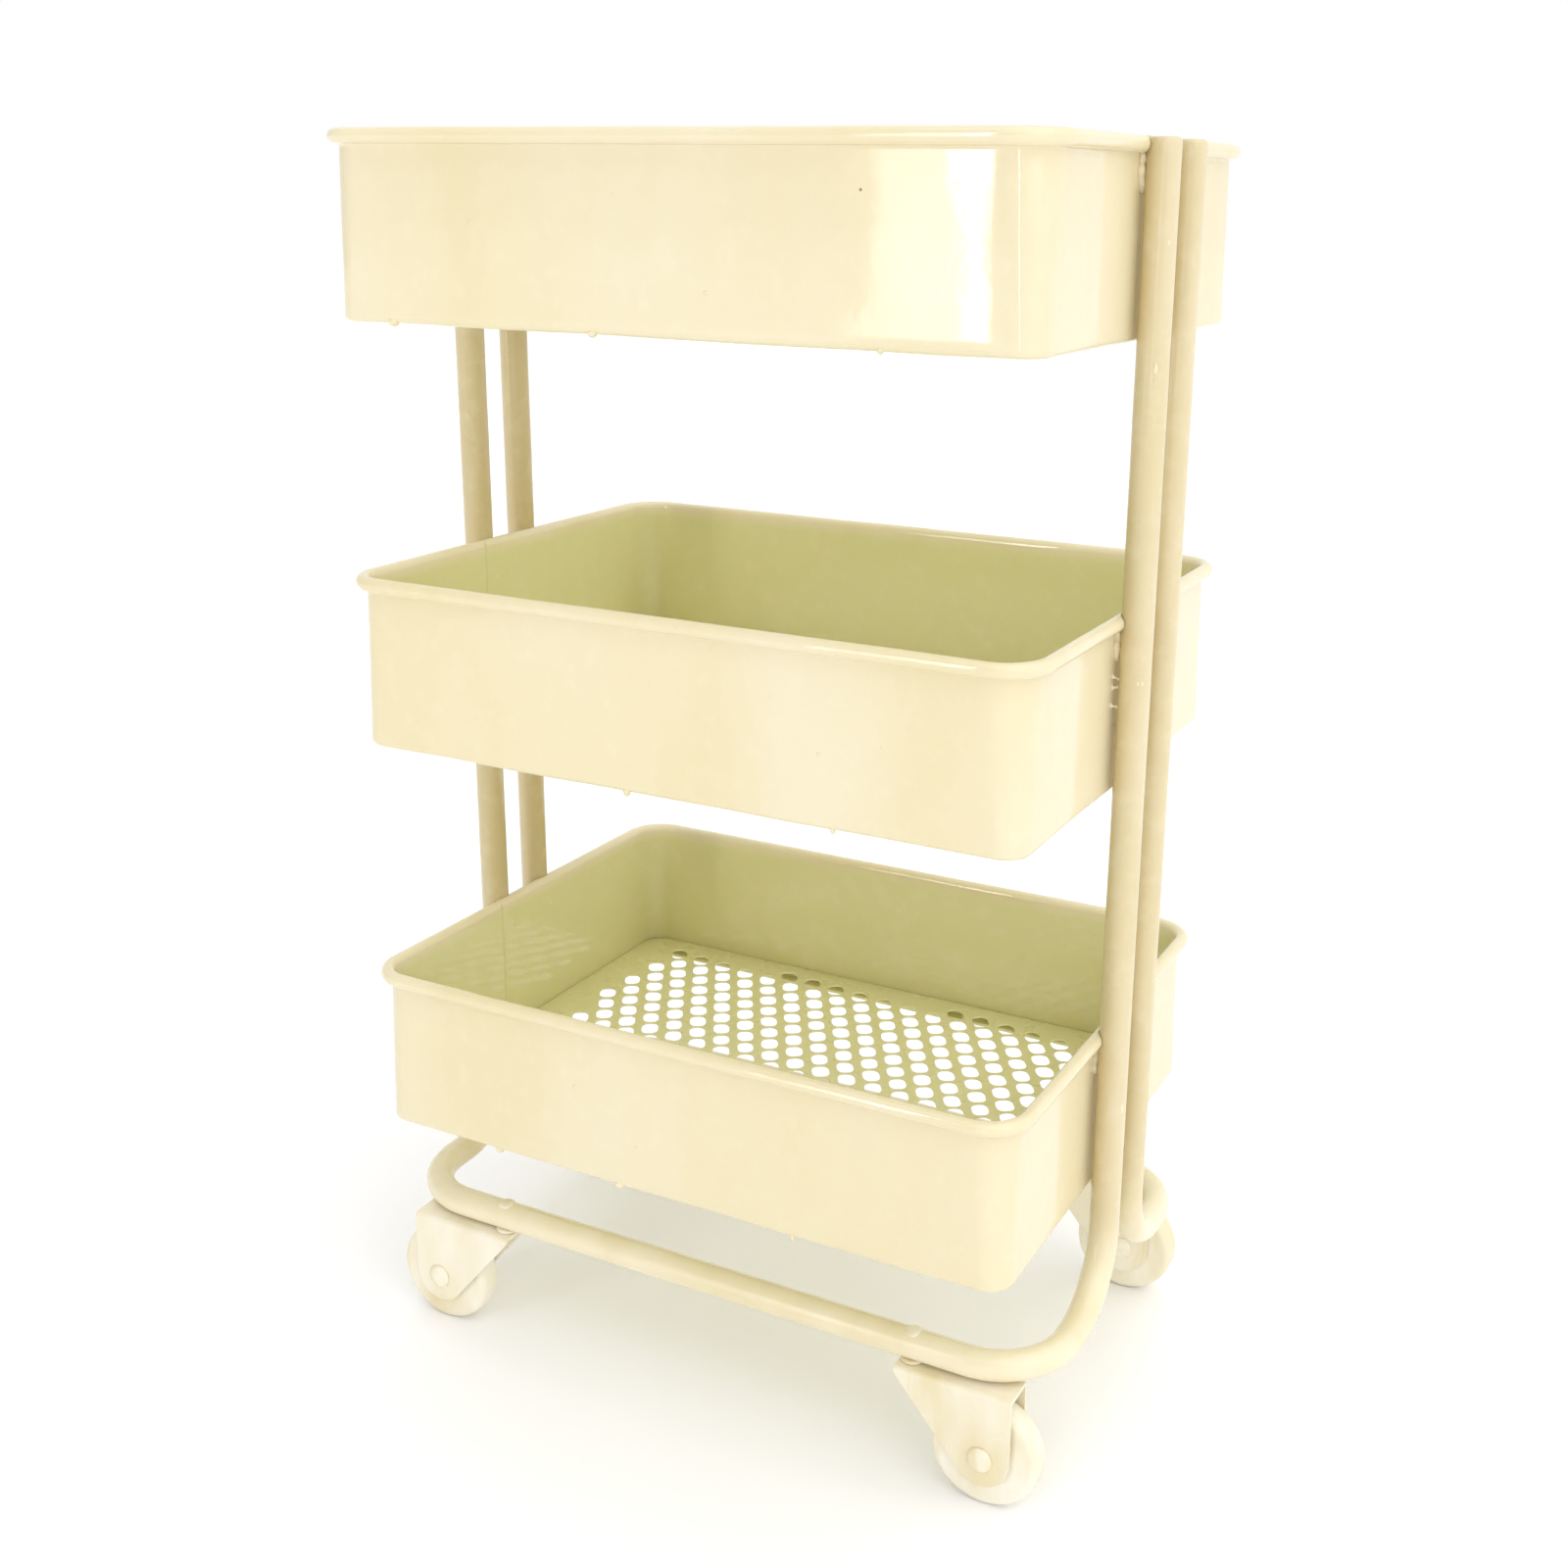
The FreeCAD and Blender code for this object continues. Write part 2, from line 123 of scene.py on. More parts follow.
class CartPaint(bpy.types.PropertyGroup):
    """Enamel colours."""
    cream: colour("Cream", "Enamel at full thickness", "EADFBE")
    thin: colour("Thin cream", "Enamel thinned over an edge", "F1E8CD")
    pooled: colour("Pooled cream", "Enamel where it ran", "E6D9B0")
    # Painted shade: this darker cream on the trays' inner faces and floors stands in for the shade
    # inside the trays
    painted_shade: colour("Deep cream", "Enamel where it gathered inside the trays", "DFDAA2")
    # Painted light: this paler, whiter cream on the casters stands in for the bright light on them
    caster_painted_light: colour("Chalky cream", "Enamel dried thin on the casters", "F6F0DF")
    wire: colour("Wire cream", "Enamel on the frame wires", "F1E6C8")
    # Painted shade: this darker cream on the uprights stands in for the shade between the wires and
    # the trays
    upright_painted_shade: colour("Sheltered cream", "Thick enamel on the uprights' inner sides", "CDBA8A")
    speck: colour("Speck", "Bare, oxidised metal in a pinhole", "7A6A4A")
    paper: colour("Paper", "Studio sweep", "FDFDFF")


class CartStage(bpy.types.PropertyGroup):
    """Camera and lights."""
    azimuth: turn("Azimuth", "Camera's turn from the front", 26.41)
    elevation: turn("Elevation", "Camera's view down", 15.98)
    roll: turn("Roll", "Camera's lean", 0.86)
    lens: amount("Lens", "Focal length on a 36 mm sensor, in mm", 41.557)
    sky: amount("Sky", "Strength of the white surroundings", 1.0)
    dim: amount("Dim side", "Share of the sky left on the side by the window", 0.4)
    window: amount("Window", "Radiance of the narrow window strip", 16.0)
    key: amount("Key", "Radiance of the softbox on the right", 0.8)
    sun: amount("Veiled sun", "Strength of the broad light overhead", 1.1)


def shape():
    """The scene's sizes."""
    return bpy.context.scene.cart_shape


def paint():
    """The scene's colours."""
    return bpy.context.scene.cart_paint


# ---------------------------------------------------------------- mesh helpers

def skin(rings, closed_path=False):
    """Vertices and faces that join equal closed rings of points; open paths get end caps."""
    count = len(rings[0])
    verts = [point for ring in rings for point in ring]
    faces = []
    for row in range(len(rings) if closed_path else len(rings) - 1):
        faces += strip(row * count, (row + 1) % len(rings) * count, count)
    if not closed_path:
        faces.append(tuple(range(count)))
        faces.append(tuple(range(len(verts) - 1, len(verts) - 1 - count, -1)))
    return verts, faces


def strip(first, second, count):
    """Quads between two rings of the given size that start at those two vertices."""
    return [(first + step, first + (step + 1) % count, second + (step + 1) % count, second + step)
            for step in range(count)]


def joined(parts):
    """One list of vertices and faces out of several."""
    verts, faces = [], []
    for part_verts, part_faces in parts:
        offset = len(verts)
        verts.extend(part_verts)
        faces.extend(tuple(index + offset for index in face) for face in part_faces)
    return verts, faces


def add_piece(name, parts, body, material, replaced=(), bevel=0.0, melt=0.0, painted_shade=()):
    """Make a mesh object that rides on a body; melt remeshes overlapping lumps into one skin, and
    the weights given last say, for each vertex, how much painted shade (a darker cream) is mixed
    into its colour."""
    mesh = bpy.data.meshes.new(name)
    verts, faces = joined(parts)
    mesh.from_pydata([tuple(point) for point in verts], [], faces)
    work = bmesh.new()
    work.from_mesh(mesh)
    bmesh.ops.recalc_face_normals(work, faces=work.faces)
    work.to_mesh(mesh)
    work.free()
    piece = bpy.data.objects.new(name, mesh)
    bpy.context.scene.collection.objects.link(piece)
    if melt:
        remesh = piece.modifiers.new("melt", "REMESH")
        remesh.mode = "VOXEL"
        remesh.voxel_size = melt
        smooth = piece.modifiers.new("soften", "SMOOTH")
        smooth.iterations = 4
        smooth.factor = 0.5
    if bevel:
        soften = piece.modifiers.new("soften", "BEVEL")
        soften.width = bevel
        soften.segments = 3
        soften.limit_method = "ANGLE"
        soften.angle_limit = math.radians(35)
        soften.harden_normals = False
    if melt or bevel:
        graph = bpy.context.evaluated_depsgraph_get()
        final = bpy.data.meshes.new_from_object(piece.evaluated_get(graph))
        piece.modifiers.clear()
        piece.data = final
        bpy.data.meshes.remove(mesh)
        final.name = name
    piece.data.shade_smooth()
    piece.data.set_sharp_from_angle(angle=math.radians(50))
    piece.data.materials.clear()
    piece.data.materials.append(material)
    if painted_shade:
        weights = piece.data.attributes.new("painted_shade_weight", "FLOAT", "POINT")
        weights.data.foreach_set("value", painted_shade)
    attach(piece, body)
    if replaced:
        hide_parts(*replaced)
    return piece


def wander(place, size, seed=0.0):
    """Smooth noise from -1 to 1 whose lumps are about the given size across."""
    return noise.noise(place / size + Vector((seed * 17.3, seed * 5.1, seed * 9.7)))


def spokes(axis, segments):
    """Unit vectors that stand evenly round an axis."""
    across = axis.orthogonal().normalized()
    third = axis.cross(across)
    angles = [2 * math.pi * step / segments for step in range(segments)]
    return [across * math.cos(angle) + third * math.sin(angle) for angle in angles]


def lathe(profile, centre, axis, segments, rough, seed):
    """Turn a closed outline of (radius, along) pairs round an axis through centre."""
    rings = []
    for outward in spokes(axis, segments):
        ring = []
        for radius, along in profile:
            place = centre + outward * radius + axis * along
            ring.append(place - outward * (rough * (0.5 + 0.5 * wander(place, 1.6 * MM, seed))))
        rings.append(ring)
    return skin(rings, closed_path=True)


def capped_lathe(profile, centre, axis, segments, rough, seed):
    """Turn an open profile that starts and ends on the axis, with a single point at each end."""
    verts = [centre + axis * profile[0][1], centre + axis * profile[-1][1]]
    faces = []
    inner = profile[1:-1]
    for radius, along in inner:
        for outward in spokes(axis, segments):
            place = centre + outward * radius + axis * along
            verts.append(place - outward * (rough * (0.5 + 0.5 * wander(place, 0.9 * MM, seed))))
    for row in range(len(inner) - 1):
        faces += strip(2 + row * segments, 2 + (row + 1) * segments, segments)
    last = 2 + (len(inner) - 1) * segments
    for step in range(segments):
        following = (step + 1) % segments
        faces.append((0, 2 + following, 2 + step))
        faces.append((1, last + step, last + following))
    return verts, faces


def lump(centre, radii, seed, rough=0.18, rings=12, segments=16):
    """Paint or solder lump: a ball drawn out to three radii and roughened."""
    verts = [centre + Vector((0, 0, radii[2])), centre - Vector((0, 0, radii[2]))]
    faces = []
    for ring in range(1, rings):
        polar = math.pi * ring / rings
        for step in range(segments):
            angle = 2 * math.pi * step / segments
            unit = Vector((math.sin(polar) * math.cos(angle), math.sin(polar) * math.sin(angle),
                           math.cos(polar)))
            swell = 1 + rough * noise.noise(unit * 1.7 + Vector((seed * 3.1, seed * 7.7, 0)))
            reach = Vector((unit.x * radii[0], unit.y * radii[1], unit.z * radii[2]))
            verts.append(centre + reach * swell)
    for ring in range(rings - 2):
        for a, b, c, d in strip(2 + ring * segments, 2 + (ring + 1) * segments, segments):
            faces.append((a, d, c, b))
    last = 2 + (rings - 2) * segments
    for step in range(segments):
        following = (step + 1) % segments
        faces.append((0, 2 + step, 2 + following))
        faces.append((1, last + following, last + step))
    return verts, faces


# ---------------------------------------------------------------- finishes

def add_node(tree, kind, settings=(), inputs=()):
    """Add a shader node, set its own properties, and set or link its sockets."""
    node = tree.nodes.new(kind)
    for name, value in dict(settings).items():
        setattr(node, name, value)
    for socket, value in dict(inputs).items():
        if isinstance(value, bpy.types.NodeSocket):
            tree.links.new(value, node.inputs[socket])
        else:
            node.inputs[socket].default_value = value
    return node


def per_metre(millimetres):
    """Noise scale that gives features of the given size."""
    return 1 / (millimetres * MM)


def enamel(name, gloss_roughness, peel, run_mm, grain, grain_depth, full="cream", shaded="painted_shade"):
    """Sprayed alkyd enamel: cream that is paler where thin and deeper where it pooled, with painted
    shade (a darker cream) mixed in by a weight on each vertex, and with orange peel, dust nibs and
    a few pinholes; grain is the height of the metal's own surface under it, and the last two
    arguments name the colours of the ordinary coat and of the painted shade."""
    material = bpy.data.materials.get(name)
    if material:
        return material
    material = bpy.data.materials.new(name)
    material.use_nodes = True
    tree = material.node_tree
    tree.nodes.clear()
    shades = paint()
    place = add_node(tree, "ShaderNodeTexCoord").outputs["Object"]
    # Runs and clouds of thicker paint, longer down than across
    stretched = add_node(tree, "ShaderNodeMapping", {}, {
        "Vector": place, "Scale": (1, 1, 0.35)}).outputs[0]
    clouds = add_node(tree, "ShaderNodeTexNoise", {}, {
        "Vector": stretched, "Scale": per_metre(run_mm), "Detail": 3.0,
        "Roughness": 0.5}).outputs["Fac"]
    depth = add_node(tree, "ShaderNodeMapRange", {}, {
        0: clouds, 1: 0.35, 2: 0.68, 3: 0.0, 4: 1.0}).outputs[0]
    body = add_node(tree, "ShaderNodeMix", {"data_type": "RGBA"}, {
        0: depth, 6: (*getattr(shades, full), 1), 7: (*shades.pooled, 1)}).outputs[2]
    # Painted shade: a darker cream is mixed in by a per-vertex weight, standing in for the shade
    # inside the trays and beside the uprights
    darkened = add_node(tree, "ShaderNodeAttribute", {
        "attribute_name": "painted_shade_weight"}).outputs["Fac"]
    body = add_node(tree, "ShaderNodeMix", {"data_type": "RGBA"}, {
        0: darkened, 6: body, 7: (*getattr(shades, shaded), 1)}).outputs[2]
    mottle = add_node(tree, "ShaderNodeTexNoise", {}, {
        "Vector": place, "Scale": per_metre(2.2), "Detail": 4.0, "Roughness": 0.6}).outputs["Fac"]
    thinning = add_node(tree, "ShaderNodeMapRange", {}, {
        0: mottle, 1: 0.5, 2: 0.8, 3: 0.0, 4: 0.25}).outputs[0]
    body = add_node(tree, "ShaderNodeMix", {"data_type": "RGBA"}, {
        0: thinning, 6: body, 7: (*shades.thin, 1)}).outputs[2]
    # Pinholes: small dark dots, in a few of the 5 mm cells
    cells = add_node(tree, "ShaderNodeTexVoronoi", {}, {"Vector": place, "Scale": per_metre(5.0)})
    dot = add_node(tree, "ShaderNodeMapRange", {}, {
        0: cells.outputs["Distance"], 1: 0.015, 2: 0.035, 3: 1.0, 4: 0.0}).outputs[0]
    chosen = add_node(tree, "ShaderNodeSeparateColor", {}, {0: cells.outputs["Color"]}).outputs[0]
    few = add_node(tree, "ShaderNodeMath", {"operation": "LESS_THAN"}, {
        0: chosen, 1: 0.04}).outputs[0]
    pin = add_node(tree, "ShaderNodeMath", {"operation": "MULTIPLY"}, {0: dot, 1: few}).outputs[0]
    body = add_node(tree, "ShaderNodeMix", {"data_type": "RGBA"}, {
        0: pin, 6: body, 7: (*shades.speck, 1)}).outputs[2]
    # Orange peel at 0.8 mm on a slow swell, then dust nibs and the metal's grain
    peel_height = add_node(tree, "ShaderNodeTexNoise", {}, {
        "Vector": place, "Scale": per_metre(0.8), "Detail": 1.0}).outputs["Fac"]
    swell = add_node(tree, "ShaderNodeTexNoise", {}, {
        "Vector": place, "Scale": per_metre(4.5), "Detail": 1.0}).outputs["Fac"]
    nib_cells = add_node(tree, "ShaderNodeTexVoronoi", {}, {
        "Vector": place, "Scale": per_metre(2.6)})
    nib = add_node(tree, "ShaderNodeMapRange", {"interpolation_type": "SMOOTHSTEP"}, {
        0: nib_cells.outputs["Distance"], 1: 0.02, 2: 0.09, 3: 1.0, 4: 0.0}).outputs[0]
    nib_chosen = add_node(tree, "ShaderNodeSeparateColor", {}, {
        0: nib_cells.outputs["Color"]}).outputs[1]
    nib_few = add_node(tree, "ShaderNodeMath", {"operation": "LESS_THAN"}, {
        0: nib_chosen, 1: 0.07}).outputs[0]
    nibs = add_node(tree, "ShaderNodeMath", {"operation": "MULTIPLY"}, {
        0: nib, 1: nib_few}).outputs[0]
    swell_bump = add_node(tree, "ShaderNodeBump", {}, {
        "Strength": 0.3, "Distance": 0.03 * MM, "Height": swell}).outputs[0]
    peel_bump = add_node(tree, "ShaderNodeBump", {}, {
        "Strength": peel, "Distance": 0.012 * MM, "Height": peel_height,
        "Normal": swell_bump}).outputs[0]
    nib_bump = add_node(tree, "ShaderNodeBump", {}, {
        "Strength": 0.8, "Distance": 0.05 * MM, "Height": nibs, "Normal": peel_bump}).outputs[0]
    grain_bump = add_node(tree, "ShaderNodeBump", {}, {
        "Strength": 0.5, "Distance": grain_depth * MM, "Height": grain(tree, place),
        "Normal": nib_bump}).outputs[0]
    gloss = add_node(tree, "ShaderNodeMapRange", {}, {
        0: clouds, 1: 0.3, 2: 0.7, 3: gloss_roughness * 0.8, 4: gloss_roughness * 1.25}).outputs[0]
    surface = add_node(tree, "ShaderNodeBsdfPrincipled", {}, {
        "Base Color": body, "Roughness": gloss, "Normal": grain_bump})
    surface.inputs["IOR"].default_value = 1.5
    output = add_node(tree, "ShaderNodeOutputMaterial")
    tree.links.new(surface.outputs[0], output.inputs["Surface"])
    return material


def rolled_grain(tree, place):
    """Rolling lines of cold-rolled sheet, along X, drawn at 0.5 mm so that they show."""
    lines = add_node(tree, "ShaderNodeMapping", {}, {
        "Vector": place, "Scale": (0.05, 0.6, 1)}).outputs[0]
    return add_node(tree, "ShaderNodeTexNoise", {}, {
        "Vector": lines, "Scale": per_metre(0.5)}).outputs["Fac"]


def drawn_grain(tree, place):
    """Die lines and dimples of drawn wire, filled by the paint to soft lumps of about 2 mm."""
    return add_node(tree, "ShaderNodeTexNoise", {}, {
        "Vector": place, "Scale": per_metre(1.8), "Detail": 2.0}).outputs["Fac"]


def sheared_grain(tree, place):
    """Fine tooth marks of sheared and folded sheet."""
    return add_node(tree, "ShaderNodeTexNoise", {}, {
        "Vector": place, "Scale": per_metre(0.4), "Detail": 2.0}).outputs["Fac"]


def cast_grain(tree, place):
    """Sand-like grain of a small casting, at 0.6 mm."""
    return add_node(tree, "ShaderNodeTexNoise", {}, {
        "Vector": place, "Scale": per_metre(0.6), "Detail": 3.0}).outputs["Fac"]


def clotted_grain(tree, place):
    """Clots of tin solder under the paint, about 0.5 mm across."""
    return add_node(tree, "ShaderNodeTexVoronoi", {"feature": "SMOOTH_F1"}, {
        "Vector": place, "Scale": per_metre(0.5)}).outputs["Distance"]


def tray_finish():
    """Gloss enamel sprayed on cold-rolled steel strip: smooth, wet-looking, faintly rippled."""
    return enamel("sprayed_enamel_on_rolled_steel_strip", 0.07, 0.25, 16.0, rolled_grain, 0.003)


def floor_finish():
    """Enamel on punched steel sheet, softer than the walls; the floors get the darker cream all
    over, painted shade that stands in for the shade inside the trays.
    """
    return enamel("sprayed_enamel_on_punched_steel_sheet", 0.28, 0.3, 5.0, sheared_grain, 0.006)


def wire_finish():
    """Enamel on drawn and bent steel wire: uneven and lumpy along the wire, still glossy."""
    # Painted shade: the uprights get a darker cream towards the trays
    return enamel("sprayed_enamel_on_drawn_steel_wire", 0.22, 0.5, 9.0, drawn_grain, 0.02, "wire",
                  "upright_painted_shade")


def solder_finish():
    """Enamel over tin solder: pitted clots with a soft gloss."""
    return enamel("sprayed_enamel_over_tin_solder", 0.3, 0.9, 2.5, clotted_grain, 0.05)


def bracket_finish():
    """Enamel on sheared and folded steel: flat faces and rounded edges under a heavy coat, in the
    paler cream that is painted light on the casters.
    """
    return enamel("sprayed_enamel_on_folded_steel_bracket", 0.26, 0.5, 6.0, sheared_grain, 0.012,
                  "caster_painted_light")


def rivet_finish():
    """Enamel on peened steel rivets: a little rough from the set, in the paler cream that is
    painted light on the casters.
    """
    return enamel("sprayed_enamel_on_peened_steel_rivet", 0.3, 0.7, 2.0, cast_grain, 0.03, "caster_painted_light")


def wheel_finish():
    """Enamel on a small zinc casting: softer than the sheet, in the paler cream that is painted
    light on the casters.
    """
    return enamel("sprayed_enamel_on_zinc_casting", 0.34, 0.7, 4.0, cast_grain, 0.02, "caster_painted_light")


def paper_finish():
    """Matt studio paper: pale, with a faint tooth."""
    material = bpy.data.materials.new("matt_studio_paper")
    material.use_nodes = True
    tree = material.node_tree
    tree.nodes.clear()
    place = add_node(tree, "ShaderNodeTexCoord").outputs["Object"]
    tooth = add_node(tree, "ShaderNodeTexNoise", {}, {
        "Vector": place, "Scale": per_metre(1.5)}).outputs["Fac"]
    bump = add_node(tree, "ShaderNodeBump", {}, {
        "Strength": 0.2, "Distance": 0.02 * MM, "Height": tooth}).outputs[0]
    surface = add_node(tree, "ShaderNodeBsdfPrincipled", {}, {
        "Base Color": (*paint().paper, 1), "Roughness": 0.9, "Specular IOR Level": 0.2,
        "Normal": bump})
    output = add_node(tree, "ShaderNodeOutputMaterial")
    tree.links.new(surface.outputs[0], output.inputs["Surface"])
    return material


# ---------------------------------------------------------------- trays

UPRIGHT_GAP = 0.03 * MM
# Spacing of the sections along the end walls, where the uprights' notches are, and the long walls
FINE_STEP = 0.3 * MM
LONG_STEP = 0.8 * MM
CORNER_STEPS = 16
SEAM_REACH = 0.45 * MM
SEAM_SECTIONS = (-0.4, -0.22, -0.1, 0.0, 0.1, 0.22, 0.4)
SEAM_WIDTH = 0.15 * MM
SEAM_DEPTH = 0.17 * MM
SEAM_STEP = 0.1 * MM
LEDGE_FOLD = 0.6


def upright_axes():
    """Plan positions of the four uprights' axes."""
    radius = shape().wire_radius
    axes = []
    for loop, side_y in FRAME_LOOPS.items():
        low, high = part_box(loop)
        inner_y = high.y - radius if side_y < 0 else low.y + radius
        axes.append((low.x + radius, inner_y))
        axes.append((high.x - radius, inner_y))
    return axes


def clear_of_uprights(place, axes):
    """Press a point of the tray in towards the wall where an upright passes."""
    reach = shape().wire_radius + UPRIGHT_GAP
    for axis_x, axis_y in axes:
        across = place.y - axis_y
        if abs(across) < reach:
            side = 1 if axis_x > 0 else -1
            limit = abs(axis_x) - math.sqrt(reach * reach - across * across)
            if abs(place.x) > limit and place.x * side > 0:
                place.x = side * limit
    return place


def wall_path(half_x, half_y, radius, seam_y):
    """Points round the walls' outer faces, anticlockwise. Each has its outward direction and the
    way it moves as the corner radius shrinks."""
    points = []
    for quarter in range(4):
        start = math.radians(90 * quarter)
        sign_x = 1 if quarter in (0, 3) else -1
        sign_y = 1 if quarter in (0, 1) else -1
        centre = Vector((sign_x * (half_x - radius), sign_y * (half_y - radius), 0))
        for step in range(CORNER_STEPS):
            angle = start + step * math.pi / 2 / CORNER_STEPS
            outward = Vector((math.cos(angle), math.sin(angle), 0))
            pull = Vector((sign_x, sign_y, 0)) - outward
            points.append((centre + outward * radius, outward, pull))
        outward = Vector((math.cos(start + math.pi / 2), math.sin(start + math.pi / 2), 0))
        along = Vector((-outward.y, outward.x, 0))
        first = centre + outward * radius
        span = 2 * ((half_x if quarter in (0, 2) else half_y) - radius)
        step = LONG_STEP if quarter in (0, 2) else FINE_STEP
        marks = [span * index / round(span / step) for index in range(round(span / step))]
        if quarter == 1:
            seam = first.y - seam_y
            marks = [mark for mark in marks if abs(mark - seam) > SEAM_REACH]
            marks += [seam + offset * MM for offset in SEAM_SECTIONS]
            marks.sort()
        points.extend((first + along * mark, outward, Vector()) for mark in marks)
    return points


def tray_profile(height):
    """Closed section of the wall strip, from the ledge up the outside, round the bead and down
    the inside: (offset out from the wall's outer face, height, zone), worked out in mm."""
    sizes = shape()
    sheet, bead, ledge = sizes.sheet / MM, sizes.bead_radius / MM, sizes.ledge / MM
    fold = LEDGE_FOLD
    section = [(-sheet - ledge, 0.13, "ledge"), (-sheet - ledge + 0.1, 0.0, "ledge"),
               (-sheet - ledge * 0.4, 0.0, "ledge")]
    for step in range(7):
        angle = math.radians(-90 + 15 * step)
        section.append((-fold + fold * math.cos(angle), fold + fold * math.sin(angle), "wall"))
    bead_out = bead - sheet
    fillet_low = height - math.sqrt(bead * bead - bead_out * bead_out) - 0.42
    count = 16
    for step in range(1, count + 1):
        section.append((0.0, fold + (fillet_low - fold) * step / count, "wall"))
    section += [(0.015, fillet_low + 0.14, "wall"), (0.06, fillet_low + 0.26, "bead"),
                (0.15, fillet_low + 0.325, "bead")]
    for step in range(19):
        angle = math.radians(-95 + 275 * step / 18)
        section.append((bead_out + bead * math.cos(angle), height + bead * math.sin(angle), "bead"))
    count = 14
    for step in range(1, count + 1):
        section.append((-sheet, height + (0.75 - height) * step / count, "wall"))
    section += [(-sheet - 0.02, 0.56, "wall"), (-sheet - 0.09, 0.44, "ledge"),
                (-sheet - 0.25, sheet, "ledge"), (-sheet - ledge + 0.1, sheet, "ledge"),
                (-sheet - ledge, sheet - 0.13, "ledge")]
    return [(offset * MM, z * MM, zone) for offset, z, zone in section]


def build_tray(tier):
    """Walls of one tray: the section swept round, with thin metal's waves, a hand-cut bottom edge,
    a butt seam on the left end and notches for the uprights."""
    sizes = shape()
    low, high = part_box(tier + "_tray")
    seed = 1.0 + TIERS.index(tier)
    bead = sizes.bead_radius
    overhang = 2 * bead - sizes.sheet
    half_x, half_y = high.x - overhang, high.y - overhang
    height = (high.z - low.z - bead) / MM
    axes = upright_axes()
    path = wall_path(half_x, half_y, sizes.corner_radius, sizes.seam_y)
    section = tray_profile(height)
    rings = []
    painted_shade = []
    for plan, outward, pull in path:
        ring = []
        for offset, z, zone in section:
            tighter = (sizes.corner_radius - sizes.low_corner) * max(0.0, 1 - z / (height * MM))
            base = plan + pull * tighter
            place = base + outward * offset + Vector((0, 0, low.z + z))
            flat = Vector((plan.x, plan.y, z))
            # Painted shade: the tray's inner faces and the ledge under the floor get the darker
            # cream
            painted_shade.append(1.0 if offset <= -sizes.sheet and z < (height - 0.4) * MM else 0.0)
            rise = min(1.0, z / (3 * MM))
            wave = wander(flat, 13 * MM, seed) + 0.35 * wander(flat, 4 * MM, seed + 5)
            wave = sizes.wave * wave * rise
            wave -= sizes.wave * 0.7 * rise
            if zone == "bead":
                centre = base + outward * (bead - sizes.sheet) + Vector((0, 0, low.z + height * MM))
                thin = 0.05 * (0.5 + 0.5 * wander(flat, 3.5 * MM, seed + 9))
                place += (centre - place) * thin
                place.z -= 0.07 * MM * (0.5 + 0.5 * wander(flat, 11 * MM, seed + 3))
            place += outward * wave
            # The bottom edge was cut by hand: it dips and rises a little
            place.z += 0.12 * MM * wander(flat, 9 * MM, seed + 7) * max(0.0, 1 - z / (4 * MM))
            if outward.x < -0.99 and zone != "ledge":
                beside = abs(base.y - sizes.seam_y)
                groove = math.exp(-(beside / SEAM_WIDTH) ** 2) * SEAM_DEPTH
                mid_out = -sizes.sheet / 2
                place += outward * (-groove if offset > mid_out else groove)
                if base.y < sizes.seam_y:
                    place -= outward * SEAM_STEP
            ring.append(clear_of_uprights(place, axes))
        rings.append(ring)
    return add_piece(tier + "_tray_walls", [skin(rings, closed_path=True)], "cart",
                     tray_finish(), (tier + "_tray",), painted_shade=painted_shade)


# ---------------------------------------------------------------- perforated floors

RIM_ROUND = 0.06 * MM
# Room kept for a hole round its centre
HOLE_REACH = 1.15 * MM
HOLE_POINTS = 20
SQUARENESS = 0.72
FEED_ANGLE = math.radians(-57.7)


def hole_centres(half_x, low_y, high_y):
    """Staggered rows of holes, turned by the skew, inside the given limits."""
    sizes = shape()
    cos, sin = math.cos(sizes.hole_skew), math.sin(sizes.hole_skew)
    rows = int((high_y - low_y) / sizes.hole_row_pitch) + 2
    columns = int(2 * half_x / sizes.hole_pitch) + 2
    centres = []
    for row in range(-rows, rows + 1):
        for column in range(-columns, columns + 1):
            along = (column + (0.5 if row % 2 else 0.0)) * sizes.hole_pitch
            across = row * sizes.hole_row_pitch
            x, y = along * cos - across * sin, along * sin + across * cos
            if abs(x) <= half_x and low_y <= y <= high_y:
                centres.append(Vector((x, y, 0)))
    return centres


def squared(share):
    """Push a cosine or sine outwards, which turns an ellipse into a rounded rectangle."""
    return math.copysign(abs(share) ** SQUARENESS, share)


